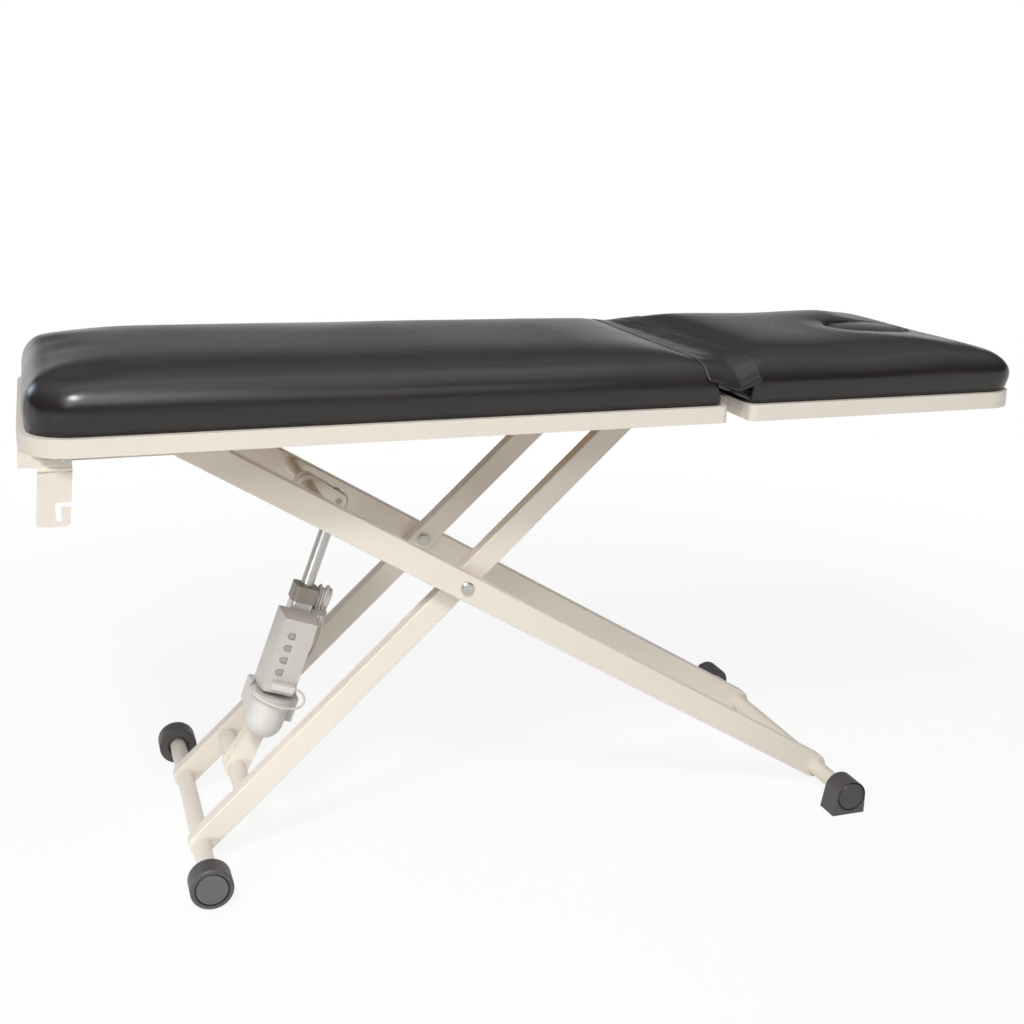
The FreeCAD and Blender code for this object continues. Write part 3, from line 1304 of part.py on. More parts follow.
def check_and_write():
    """Stop on any failed object or bad shape, then write one file per piece."""
    doc.recompute()
    for thing in doc.Objects:
        if {"Invalid", "Error"} & set(thing.State):
            raise RuntimeError(f"{thing.Label} did not build: {thing.State}")
    for thing in finished:
        if thing.Shape.isNull() or not thing.Shape.isValid() or not thing.Shape.Solids:
            raise RuntimeError(f"{thing.Label} has no valid solid")
    os.makedirs("parts", exist_ok=True)
    for thing in finished:
        thing.Shape.exportStep(os.path.join("parts", f"{thing.Label}.step"))
    print(f"{len(finished)} pieces written")


make_feet()
make_outer_legs()
make_inner_legs()
make_wheels()
make_rollers()
make_top_structure()
make_roll_holder()
make_head_hinge()
make_cushions()
make_brackets()
make_actuator()
make_control_box()
make_lead()
check_and_write()
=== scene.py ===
"""Dress the electric examination table: upholstery, paint, rubber, plastics, metals and its lead.

Everything is in metres in the table's own frame: +X to the head end, +Y to the far side, +Z up.
"""

import logging
import math
from dataclasses import dataclass
from enum import Enum

import bmesh
import bpy
import numpy as np
from bmesh.types import BMesh, BMVert
from bpy.types import ID, Material, Mesh, Node, NodeSocket, NodeTree, Object, World
from mathutils import Matrix, Vector, noise
from mathutils.bvhtree import BVHTree


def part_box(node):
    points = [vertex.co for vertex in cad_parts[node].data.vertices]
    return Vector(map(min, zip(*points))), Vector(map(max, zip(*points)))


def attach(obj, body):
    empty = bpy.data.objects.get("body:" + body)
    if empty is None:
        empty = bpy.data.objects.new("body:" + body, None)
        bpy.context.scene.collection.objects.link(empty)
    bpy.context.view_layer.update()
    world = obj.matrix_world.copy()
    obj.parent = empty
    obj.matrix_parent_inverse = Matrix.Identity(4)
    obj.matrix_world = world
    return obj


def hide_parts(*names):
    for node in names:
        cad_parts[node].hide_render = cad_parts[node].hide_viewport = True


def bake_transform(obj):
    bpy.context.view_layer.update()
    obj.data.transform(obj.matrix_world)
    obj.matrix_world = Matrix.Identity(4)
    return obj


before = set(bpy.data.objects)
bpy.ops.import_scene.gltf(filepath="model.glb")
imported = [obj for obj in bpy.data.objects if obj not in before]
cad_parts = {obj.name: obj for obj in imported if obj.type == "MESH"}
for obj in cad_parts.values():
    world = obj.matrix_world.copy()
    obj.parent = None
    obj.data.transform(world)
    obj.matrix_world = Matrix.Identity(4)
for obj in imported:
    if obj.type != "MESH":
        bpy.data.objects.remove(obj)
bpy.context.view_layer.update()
MM = 0.001
WHITE = (1.0, 1.0, 1.0, 1.0)
PLASTIC_IOR = 1.5
# Part of a noise pattern's range that its clouds take up.
CLOUD_SPREAD = (0.3, 0.7)
logging.basicConfig(level=logging.INFO, format="%(name)s: %(message)s")
log = logging.getLogger("examination_table")
Pair = tuple[float, float]
Triple = tuple[float, float, float]


class Side(Enum):
    """The two long sides of the table, by the sign of Y."""

    NEAR = -1
    FAR = 1


def linear(colour: str) -> tuple[float, float, float, float]:
    """Turn an sRGB hex colour into a linear one.

    Args:
        colour: Six hex digits with a leading hash.

    Returns:
        Linear red, green, blue and an alpha of 1.
    """
    parts = [int(colour[i:i + 2], 16) / 255 for i in (1, 3, 5)]
    made = [c / 12.92 if c <= 0.04045 else ((c + 0.055) / 1.055) ** 2.4 for c in parts]
    return made[0], made[1], made[2], 1.0


def per_metre(size_mm: float) -> float:
    """Pattern scale whose features are about size_mm across."""
    return 1000.0 / size_mm


def wave_scale(size_mm: float) -> float:
    """Scale at which a wave pattern, which takes its place times 20, turns one radian in size_mm."""
    return per_metre(size_mm) / 20


def add_node(tree: NodeTree, kind: str, settings: dict | None = None,
             inputs: dict | None = None) -> Node:
    """Add a node with its settings and links.

    Args:
        tree: Node tree that gets the node.
        kind: Blender's type name of the node.
        settings: Attributes of the node itself.
        inputs: Values or output sockets by input identifier.

    Returns:
        The new node.
    """
    node = tree.nodes.new(kind)
    for name, value in (settings or {}).items():
        setattr(node, name, value)
    sockets = {socket.identifier: socket for socket in node.inputs}
    for name, value in (inputs or {}).items():
        if isinstance(value, NodeSocket):
            tree.links.new(value, sockets[name])
        else:
            sockets[name].default_value = value
    return node


def emptied(owner: Material | World) -> NodeTree:
    """Node tree of a material or a world, with nothing in it."""
    owner.use_nodes = True
    owner.node_tree.nodes.clear()
    return owner.node_tree


def object_place(tree: NodeTree) -> NodeSocket:
    """Socket of the place on the piece, in metres."""
    return add_node(tree, "ShaderNodeTexCoord").outputs["Object"]


def speckle(tree: NodeTree, place: NodeSocket, size_mm: float, detail: float,
            roughness: float = 0.5) -> NodeSocket:
    """Socket of a noise pattern: the size of its features, its finer layers and their weight."""
    return add_node(tree, "ShaderNodeTexNoise", inputs={
        "Vector": place, "Scale": per_metre(size_mm), "Detail": detail, "Roughness": roughness}).outputs[0]


def larger(tree: NodeTree, first: NodeSocket, last: NodeSocket) -> NodeSocket:
    """Socket of the larger of two values."""
    return add_node(tree, "ShaderNodeMath", {"operation": "MAXIMUM"}, {
        "Value": first, "Value_001": last}).outputs[0]


@dataclass(frozen=True)
class Finish:
    """A surface finish that makes one node material."""

    name: str
    dark: str
    light: str

    def material(self) -> Material:
        """Return this finish's material, made on first use."""
        found = bpy.data.materials.get(self.name)
        if found is not None:
            return found
        made = bpy.data.materials.new(self.name)
        tree = emptied(made)
        shader = add_node(tree, "ShaderNodeBsdfPrincipled")
        add_node(tree, "ShaderNodeOutputMaterial", inputs={"Surface": shader.outputs[0]})
        self.dress(tree, shader)
        return made

    def dress(self, tree: NodeTree, shader: Node) -> None:
        """Wire the finish's pattern into its shader."""
        raise NotImplementedError

    def two_tone(self, tree: NodeTree, factor: NodeSocket) -> NodeSocket:
        """Mix the finish's dark and light colours.

        Args:
            tree: Node tree of the material.
            factor: Socket that picks from dark at 0 to light at 1.

        Returns:
            The mixed colour's socket.
        """
        mix = add_node(tree, "ShaderNodeMix", {"data_type": "RGBA"}, {
            "Factor_Float": factor, "A_Color": linear(self.dark), "B_Color": linear(self.light)})
        return mix.outputs[2]

    def cover(self, tree: NodeTree, shader: Node, tone: NodeSocket, relief: NodeSocket,
              strength: float, depth_mm: float) -> None:
        """Wire a tone into the shader's colour and a relief into its normal.

        Args:
            tree: Node tree of the material.
            shader: Its shader.
            tone: Socket that picks between the two colours.
            relief: Socket of the surface's height.
            strength: Share of the relief that shows.
            depth_mm: Depth of the whole relief.
        """
        bump = add_node(tree, "ShaderNodeBump", inputs={
            "Strength": strength, "Distance": depth_mm * MM, "Height": relief})
        tree.links.new(self.two_tone(tree, tone), shader.inputs["Base Color"])
        tree.links.new(bump.outputs[0], shader.inputs["Normal"])

    def shine(self, tree: NodeTree, shader: Node, tone: NodeSocket, gloss: Pair) -> None:
        """Let a tone move the shader's roughness between two values."""
        level = add_node(tree, "ShaderNodeMapRange", inputs={
            "Value": tone, "From Min": CLOUD_SPREAD[0], "From Max": CLOUD_SPREAD[1],
            "To Min": gloss[0], "To Max": gloss[1]})
        tree.links.new(level.outputs[0], shader.inputs["Roughness"])


@dataclass(frozen=True)
class MouldedFinish(Finish):
    """Paint, rubber or plastic: a cloudy tone, a fine grit in the surface and a steady gloss."""

    cloud_mm: float = 160.0
    grit_mm: float = 2.5
    grit_depth: float = 0.05
    gloss: Pair = (0.34, 0.42)
    specular: float = 0.5

    def dress(self, tree: NodeTree, shader: Node) -> None:
        """Wire cloud, grit and gloss."""
        place = object_place(tree)
        cloud = speckle(tree, place, self.cloud_mm, detail=4.0, roughness=0.6)
        grit = speckle(tree, place, self.grit_mm, detail=2.0)
        self.cover(tree, shader, cloud, grit, strength=self.grit_depth, depth_mm=0.4)
        self.shine(tree, shader, cloud, self.gloss)
        shader.inputs["IOR"].default_value = PLASTIC_IOR
        shader.inputs["Specular IOR Level"].default_value = self.specular


@dataclass(frozen=True)
class VinylFinish(Finish):
    """Calendered vinyl on knit, pressed with a leather grain: satin, with broad soft highlights."""

    cloud_mm: float = 240.0
    grain_mm: float = 2.8
    pore_mm: float = 1.3
    pore_share: float = 0.35
    grain_depth: float = 0.13
    gloss: Pair = (0.24, 0.3)

    def dress(self, tree: NodeTree, shader: Node) -> None:
        """Wire the pressed grain, the pores and the handled patches of gloss."""
        place = object_place(tree)
        cloud = speckle(tree, place, self.cloud_mm, detail=3.0, roughness=0.55)
        # Leather grain is about 1 mm across; it is drawn near 3 mm so that it shows at this distance.
        grain = add_node(tree, "ShaderNodeTexVoronoi", {"feature": "SMOOTH_F1"}, {
            "Vector": place, "Scale": per_metre(self.grain_mm), "Smoothness": 0.35})
        pores = speckle(tree, place, self.pore_mm, detail=1.0)
        relief = add_node(tree, "ShaderNodeMath", {"operation": "MULTIPLY_ADD"}, {
            "Value": pores, "Value_001": self.pore_share, "Value_002": grain.outputs["Distance"]})
        self.cover(tree, shader, cloud, relief.outputs[0], strength=self.grain_depth, depth_mm=0.25)
        self.shine(tree, shader, cloud, self.gloss)
        shader.inputs["IOR"].default_value = PLASTIC_IOR


@dataclass(frozen=True)
class MetalFinish(Finish):
    """Bare or plated metal with drawing lines along one direction and a cloudy gloss."""

    gloss: Pair = (0.26, 0.36)
    cloud_mm: float = 25.0
    line_mm: float = 1.2
    line_tilt: float = 0.0

    def dress(self, tree: NodeTree, shader: Node) -> None:
        """Wire the lines and the gloss."""
        place = object_place(tree)
        turn = add_node(tree, "ShaderNodeMapping", inputs={
            "Vector": place, "Rotation": (0.0, self.line_tilt, 0.0)})
        lines = add_node(tree, "ShaderNodeTexWave", {"bands_direction": "Z"}, {
            "Vector": turn.outputs[0], "Scale": wave_scale(self.line_mm), "Distortion": 1.5,
            "Detail": 2.0, "Detail Scale": 2.0})
        cloud = speckle(tree, place, self.cloud_mm, detail=3.0)
        self.cover(tree, shader, cloud, lines.outputs["Fac"], strength=0.04, depth_mm=0.1)
        self.shine(tree, shader, cloud, self.gloss)
        shader.inputs["Metallic"].default_value = 1.0


@dataclass(frozen=True)
class PlyFinish(Finish):
    """Birch plywood: long grain on the faces and alternate plies along the edge."""

    ply_mm: float = 1.5
    grain_mm: float = 6.0
    stretch: Triple = (0.06, 1.0, 1.0)
    gloss: float = 0.62

    def dress(self, tree: NodeTree, shader: Node) -> None:
        """Wire the plies and the grain."""
        place = object_place(tree)
        long = add_node(tree, "ShaderNodeMapping", inputs={"Vector": place, "Scale": self.stretch})
        grain = speckle(tree, long.outputs[0], self.grain_mm, detail=5.0)
        plies = add_node(tree, "ShaderNodeTexWave", {"bands_direction": "Z"}, {
            "Vector": place, "Scale": wave_scale(2 * self.ply_mm), "Distortion": 0.4})
        tone = add_node(tree, "ShaderNodeMath", {"operation": "MULTIPLY"}, {
            "Value": grain, "Value_001": plies.outputs["Fac"]})
        self.cover(tree, shader, tone.outputs[0], grain, strength=0.1, depth_mm=0.3)
        shader.inputs["Roughness"].default_value = self.gloss


# Lean of the lift actuator at rest, in degrees.
ACTUATOR_TILT = 19.991

# Cream polyester powder coat on steel: satin, with a faint orange peel that breaks up its highlights.
CREAM_PAINT = MouldedFinish("cream_powder_coat", "#E2DACE", "#EAE4DA", cloud_mm=220.0, grit_mm=3.0,
                            grit_depth=0.07, gloss=(0.33, 0.41))
# Weld metal under the same paint: rippled and a little glossier where the coat is thick.
WELD_PAINT = MouldedFinish("painted_weld", "#DCD4C7", "#E8E1D6", cloud_mm=14.0, grit_mm=2.0,
                           grit_depth=0.18, gloss=(0.28, 0.4))
# Black upholstery vinyl: warm on top, with a leather grain and a satin sheen.
BLACK_VINYL = VinylFinish("black_upholstery_vinyl", "#1A1716", "#231F1D")
# Folded vinyl edge of the main seam: the same hide in a paler grey, which is a painted highlight along the
# rolled edge, and duller.
HIGHLIT_SEAM_VINYL = VinylFinish("seam_vinyl_painted_highlight", "#4A4541", "#655E58", grain_depth=0.1, gloss=(0.34, 0.42))
# Moulded rubber tyre and foot: dark warm grey and matt, with a fine mould texture.
GREY_RUBBER = MouldedFinish("moulded_grey_rubber", "#474546", "#555354", cloud_mm=60.0, grit_mm=1.6,
                            grit_depth=0.16, gloss=(0.42, 0.54), specular=0.45)
# Injection-moulded cap: mid grey nylon with a tight even texture.
CAP_PLASTIC = MouldedFinish("moulded_grey_cap", "#545354", "#626162", cloud_mm=40.0, grit_mm=1.2,
                            grit_depth=0.1, gloss=(0.4, 0.5))
# Cap of the feet: the same nylon in a darker, shinier moulding.
FOOT_CAP_PLASTIC = MouldedFinish("moulded_dark_cap", "#3A393A", "#464546", cloud_mm=40.0, grit_mm=1.2,
                                 grit_depth=0.08, gloss=(0.3, 0.4))
# Spark-eroded housing plastic: pale warm grey with a soft matt glow.
PALE_PLASTIC = MouldedFinish("housing_abs", "#CFCDCA", "#D8D6D3", cloud_mm=90.0, grit_mm=1.4,
                             grit_depth=0.12, gloss=(0.38, 0.48))
# Control box: the same plastic in a greyer shade, dulled by handling.
BOX_PLASTIC = MouldedFinish("control_box_abs", "#BFBBB5", "#C9C6C1", cloud_mm=70.0, grit_mm=1.4,
                            grit_depth=0.12, gloss=(0.4, 0.5))
# Grey guide plastic of the collar: darker, dull and slightly warm.
COLLAR_PLASTIC = MouldedFinish("guide_collar_pom", "#928A81", "#A0988F", cloud_mm=40.0, grit_mm=1.5,
                               grit_depth=0.1, gloss=(0.42, 0.5))
# Slip-moulded nylon of bushes, rollers and the drive nut: milky and smooth.
NYLON = MouldedFinish("white_nylon", "#C9C6BF", "#D8D5CE", cloud_mm=30.0, grit_mm=1.5,
                      gloss=(0.3, 0.38))
# Thin tie of the hank: the same nylon, handled and greyer.
TIE_NYLON = MouldedFinish("tie_nylon", "#A8A298", "#BDB8AF", cloud_mm=8.0, grit_mm=1.0, grit_depth=0.1,
                          gloss=(0.32, 0.42))
# Flexible PVC sheath of the lead: off-white, soft gloss, slightly soiled in patches.
LEAD_PVC = MouldedFinish("lead_pvc", "#C6C2BB", "#DAD7D2", cloud_mm=45.0, grit_mm=1.0,
                         gloss=(0.34, 0.44))
# Blanking plugs of the sockets: duller than the housing, in a darker, browner grey that is painted shade of
# their recesses.
SHADED_SOCKET_PLASTIC = MouldedFinish("socket_blank", "#989389", "#A8A39A", cloud_mm=15.0, grit_mm=1.0,
                               grit_depth=0.08, gloss=(0.42, 0.52))
# Zinc-plated steel of bolts and pins: bright, with a slightly cloudy passivation.
ZINC_STEEL = MetalFinish("zinc_plated_steel", "#B4B2AD", "#CFCDC8", gloss=(0.24, 0.36))
# Satin push rod: grey drawn aluminium with faint rings across its length.
ROD_METAL = MetalFinish("satin_push_rod", "#B7B5B2", "#C9C7C4", gloss=(0.34, 0.42), line_mm=1.5,
                        line_tilt=math.radians(-ACTUATOR_TILT))
# Anodised guide tube: pale and finely drawn, with a soft broad sheen.
ANODISED = MetalFinish("anodised_tube", "#C9C7C4", "#DAD8D5", gloss=(0.4, 0.48), line_mm=1.5,
                       line_tilt=math.radians(-ACTUATOR_TILT))
# Birch ply boards under the cushions: bare wood that shows only from beneath.
PLYWOOD = PlyFinish("birch_plywood", "#9C7A4E", "#D2B58A")


def placed(name: str, data: ID) -> Object:
    """Put an object in the scene, at the origin."""
    made = bpy.data.objects.new(name, data)
    bpy.context.scene.collection.objects.link(made)
    return made


def finished_piece(name: str, mesh: Mesh, finish: Finish, smooth: bool = True) -> Object:
    """Put a mesh in the scene as a dressed piece.

    Args:
        name: Name of the piece.
        mesh: Its mesh, in place.
        finish: Its finish.
        smooth: Whether its faces are shaded smooth.

    Returns:
        The new object, at the origin.
    """
    mesh.name = name
    mesh.materials.clear()
    mesh.materials.append(finish.material())
    mesh.polygons.foreach_set("use_smooth", [smooth] * len(mesh.polygons))
    return placed(name, mesh)


def mesh_from(bm: BMesh, name: str) -> Mesh:
    """Turn a bmesh into a mesh whose faces point outwards, and free it."""
    bmesh.ops.recalc_face_normals(bm, faces=bm.faces)
    mesh = bpy.data.meshes.new(name)
    bm.to_mesh(mesh)
    bm.free()
    return mesh


def evaluated_mesh(obj: Object) -> Mesh:
    """Mesh of an object with its modifiers applied."""
    graph = bpy.context.evaluated_depsgraph_get()
    graph.update()
    return bpy.data.meshes.new_from_object(obj.evaluated_get(graph))


def round_cord(name: str, points: list[Vector], radius: float, round_steps: int, long_steps: int) -> Object:
    """Put a round cord in the scene.

    Args:
        name: Name of the piece.
        points: Its control points, in metres.
        radius: Its radius in millimetres.
        round_steps: Fineness round the cord.
        long_steps: Fineness along the cord, between two control points.

    Returns:
        The curve.
    """
    data = bpy.data.curves.new(name, "CURVE")
    data.dimensions = "3D"
    data.bevel_depth = radius * MM
    data.bevel_resolution = round_steps
    data.resolution_u = long_steps
    data.use_fill_caps = True
    spline = data.splines.new("NURBS")
    spline.points.add(len(points) - 1)
    for control, point in zip(spline.points, points):
        control.co = (*point, 1.0)
    spline.order_u = 3
    spline.use_endpoint_u = True
    return placed(name, data)


def turned(profile: list[Pair], facets: int) -> BMesh:
    """Turn a profile about Z.

    Args:
        profile: Radius and height of each corner, in millimetres.
        facets: Number of facets round the axis.

    Returns:
        The turned skin.
    """
    bm = bmesh.new()
    corners = [bm.verts.new((radius * MM, 0.0, up * MM)) for radius, up in profile]
    for first, last in zip(corners, corners[1:]):
        bm.edges.new((first, last))
    bmesh.ops.spin(bm, geom=[*bm.verts, *bm.edges], cent=(0, 0, 0), axis=(0, 0, 1), dvec=(0, 0, 0),
                   angle=math.tau, steps=facets, use_merge=True, use_duplicate=False)
    bmesh.ops.remove_doubles(bm, verts=bm.verts, dist=1e-6)
    return bm


def smooth_step(value: float, low: float, high: float) -> float:
    """Ease from 0 at low to 1 at high."""
    share = min(1.0, max(0.0, (value - low) / (high - low)))
    return share * share * (3.0 - 2.0 * share)


@dataclass(frozen=True)
class Lamp:
    """One soft box: its place and the point that it faces, its size in metres, its watts and its colour.

    A grid narrows its spread, in degrees. A lamp that isn't mirrored stays out of reflections.
    """

    name: str
    place: Triple
    target: Triple
    size: Pair
    watts: float
    colour: str = "#FFFFFF"
    spread: float = 180.0
    mirrored: bool = True

    def hang(self) -> None:
        """Put the lamp in the scene."""
        data = bpy.data.lights.new(self.name, "AREA")
        data.spread = math.radians(self.spread)
        data.shape = "RECTANGLE"
        data.size, data.size_y = self.size
        data.energy = self.watts
        data.color = linear(self.colour)[:3]
        made = placed(self.name, data)
        made.location = self.place
        facing = Vector(self.target) - Vector(self.place)
        made.rotation_euler = facing.to_track_quat("-Z", "Y").to_euler()
        made.visible_glossy = self.mirrored


# A far key, boxes from the front up to overhead, a low fill and two boxes behind.
LAMPS = (
    Lamp("key_box", (-2.5, -4.2, 6.6), (-0.1, -0.1, 0.5), (1.1, 1.1), 245.0, "#FFFCF8"),
    Lamp("front_left_box", (-1.3, -2.7, 3.1), (-0.3, -0.2, 0.9), (2.2, 1.7), 38.0, "#FFFDFB"),
    Lamp("front_right_box", (0.5, -3.4, 2.6), (0.1, -0.3, 0.9), (1.6, 1.4), 10.0, "#FFFDFB"),
    Lamp("overhead_box", (-0.4, -0.6, 3.4), (-0.4, -0.59, 0.9), (3.2, 2.4), 12.0),
    Lamp("low_left_box", (-2.4, -2.2, 0.45), (-0.35, -0.1, 0.0), (0.9, 0.4), 1.3, "#FFFCF8", spread=36.0),
    Lamp("back_box", (0.4, 3.4, 4.4), (0.0, 0.2, 0.6), (2.2, 2.2), 24.0, mirrored=False),
    Lamp("cool_box", (-2.6, 2.3, 1.9), (-0.8, 0.2, 0.9), (0.9, 0.7), 9.0, "#DCE9FF"),
)


@dataclass(frozen=True)
class Studio:
    """Pale floor, soft lamps, a white surround and the camera.

    The surround is given as greys by the height of the ray that meets it.
    """

    eye: Triple = (-0.9049, -2.6041, 1.4079)
    yaw: float = 18.92
    pitch: float = 16.11
    roll: float = 1.25
    lens: float = 48.77
    sensor: float = 36.0
    floor_radius: float = 9.0
    floor_sides: int = 96
    floor_drop: float = 0.5
    floor_colour: str = "#F7F6F4"
    fade_from: Pair = (1.3, 3.0)
    fade_share: Pair = (0.88, 1.0)
    shed_colour: str = "#F8FAFF"
    shed_level: float = 0.22
    surround: tuple[Pair, ...] = (
        (0.0, 1.0), (0.085, 1.0), (0.15, 0.07), (0.3, 0.09), (0.55, 0.26), (0.78, 0.66), (1.0, 1.0))

    def build(self) -> None:
        """Make the camera, the lamps, the surround and the floor."""
        self.aim_camera()
        for lamp in LAMPS:
            lamp.hang()
        self.light_surround()
        self.lay_floor()
        bpy.context.scene.view_settings.view_transform = "Standard"

    def aim_camera(self) -> None:
        """Set the camera at the viewing angle."""
        yaw, pitch, roll = (math.radians(a) for a in (self.yaw, self.pitch, self.roll))
        flat = math.cos(pitch)
        forward = Vector((math.sin(yaw) * flat, math.cos(yaw) * flat, -math.sin(pitch)))
        level = Vector((math.cos(yaw), -math.sin(yaw), 0.0))
        upright = level.cross(forward)
        across = level * math.cos(roll) + upright * math.sin(roll)
        turn = Matrix((across, across.cross(forward), -forward)).transposed()
        data = bpy.data.cameras.new("camera")
        data.lens = self.lens
        data.sensor_width = self.sensor
        camera = placed("camera", data)
        camera.matrix_world = Matrix.Translation(self.eye) @ turn.to_4x4()
        bpy.context.scene.camera = camera

    def light_surround(self) -> None:
        """White surround, mirrored as a studio with a grey band between its walls and its ceiling.

        A dimmer surround sheds the light.
        """
        world = bpy.data.worlds.new("surround")
        tree = emptied(world)
        seen = seen_directly(tree)
        place = add_node(tree, "ShaderNodeTexCoord").outputs["Generated"]
        height = add_node(tree, "ShaderNodeSeparateXYZ", inputs={"Vector": place})
        fall = add_node(tree, "ShaderNodeValToRGB", inputs={"Fac": height.outputs[2]})
        while len(fall.color_ramp.elements) < len(self.surround):
            fall.color_ramp.elements.new(0.5)
        for stop, (share, grey) in zip(fall.color_ramp.elements, self.surround):
            stop.position = share
            stop.color = (grey, grey, grey, 1.0)
        rays = add_node(tree, "ShaderNodeLightPath")
        level = larger(tree, fall.outputs[0], rays.outputs["Is Camera Ray"])
        shown = add_node(tree, "ShaderNodeBackground", inputs={"Color": WHITE, "Strength": level})
        shed = add_node(tree, "ShaderNodeBackground", inputs={
            "Color": linear(self.shed_colour), "Strength": self.shed_level})
        mix = add_node(tree, "ShaderNodeMixShader", inputs={
            "Fac": seen, "Shader": shed.outputs[0], "Shader_001": shown.outputs[0]})
        add_node(tree, "ShaderNodeOutputWorld", inputs={"Surface": mix.outputs[0]})
        bpy.context.scene.world = world

    def lay_floor(self) -> None:
        """Lay a pale disc that holds the soft shadow and fades into the surround."""
        bm = bmesh.new()
        bmesh.ops.create_circle(bm, cap_ends=True, segments=self.floor_sides, radius=self.floor_radius)
        bmesh.ops.translate(bm, verts=bm.verts, vec=(0.0, 0.0, -self.floor_drop * MM))
        mesh = bpy.data.meshes.new("floor")
        bm.to_mesh(mesh)
        bm.free()
        material = bpy.data.materials.new("pale_floor")
        tree = emptied(material)
        far = add_node(tree, "ShaderNodeVectorMath", {"operation": "LENGTH"}, {
            "Vector": object_place(tree)})
        fade = add_node(tree, "ShaderNodeMapRange", {"interpolation_type": "SMOOTHSTEP"}, {
            "Value": far.outputs["Value"], "From Min": self.fade_from[0], "From Max": self.fade_from[1],
            "To Min": self.fade_share[0], "To Max": self.fade_share[1]})
        pale = add_node(tree, "ShaderNodeBsdfDiffuse", inputs={"Color": linear(self.floor_colour)})
        white = add_node(tree, "ShaderNodeEmission", inputs={"Color": WHITE, "Strength": 1.0})
        shown = add_node(tree, "ShaderNodeMixShader", inputs={
            "Fac": fade.outputs[0], "Shader": pale.outputs[0], "Shader_001": white.outputs[0]})
        mix = add_node(tree, "ShaderNodeMixShader", inputs={
            "Fac": seen_directly(tree), "Shader": pale.outputs[0], "Shader_001": shown.outputs[0]})
        add_node(tree, "ShaderNodeOutputMaterial", inputs={"Surface": mix.outputs[0]})
        mesh.materials.append(material)
        floor = placed("floor", mesh)


def seen_directly(tree: NodeTree) -> NodeSocket:
    """Socket that is 1 for camera, mirror and glass rays, and 0 for the light that is shed."""
    rays = add_node(tree, "ShaderNodeLightPath")
    mirror = larger(tree, rays.outputs["Is Camera Ray"], rays.outputs["Is Glossy Ray"])
    return larger(tree, mirror, rays.outputs["Is Transmission Ray"])


@dataclass(frozen=True)
class ActuatorFrame:
    """The slanted frame of the lift actuator, with its origin on the lower pin."""

    pin_x: float = -548.4
    pin_z: float = 199.0
    tilt: float = ACTUATOR_TILT

    def matrix(self) -> Matrix:
        """Matrix from the actuator's own metres to the table's."""
        turn = Matrix.Rotation(math.radians(self.tilt), 4, "Y")
        return Matrix.Translation((self.pin_x * MM, 0.0, self.pin_z * MM)) @ turn

    def point(self, place: Triple) -> Vector:
        """Point of the table from a point in the actuator's millimetres."""
        return self.matrix() @ (Vector(place) * MM)


ACTUATOR = ActuatorFrame()


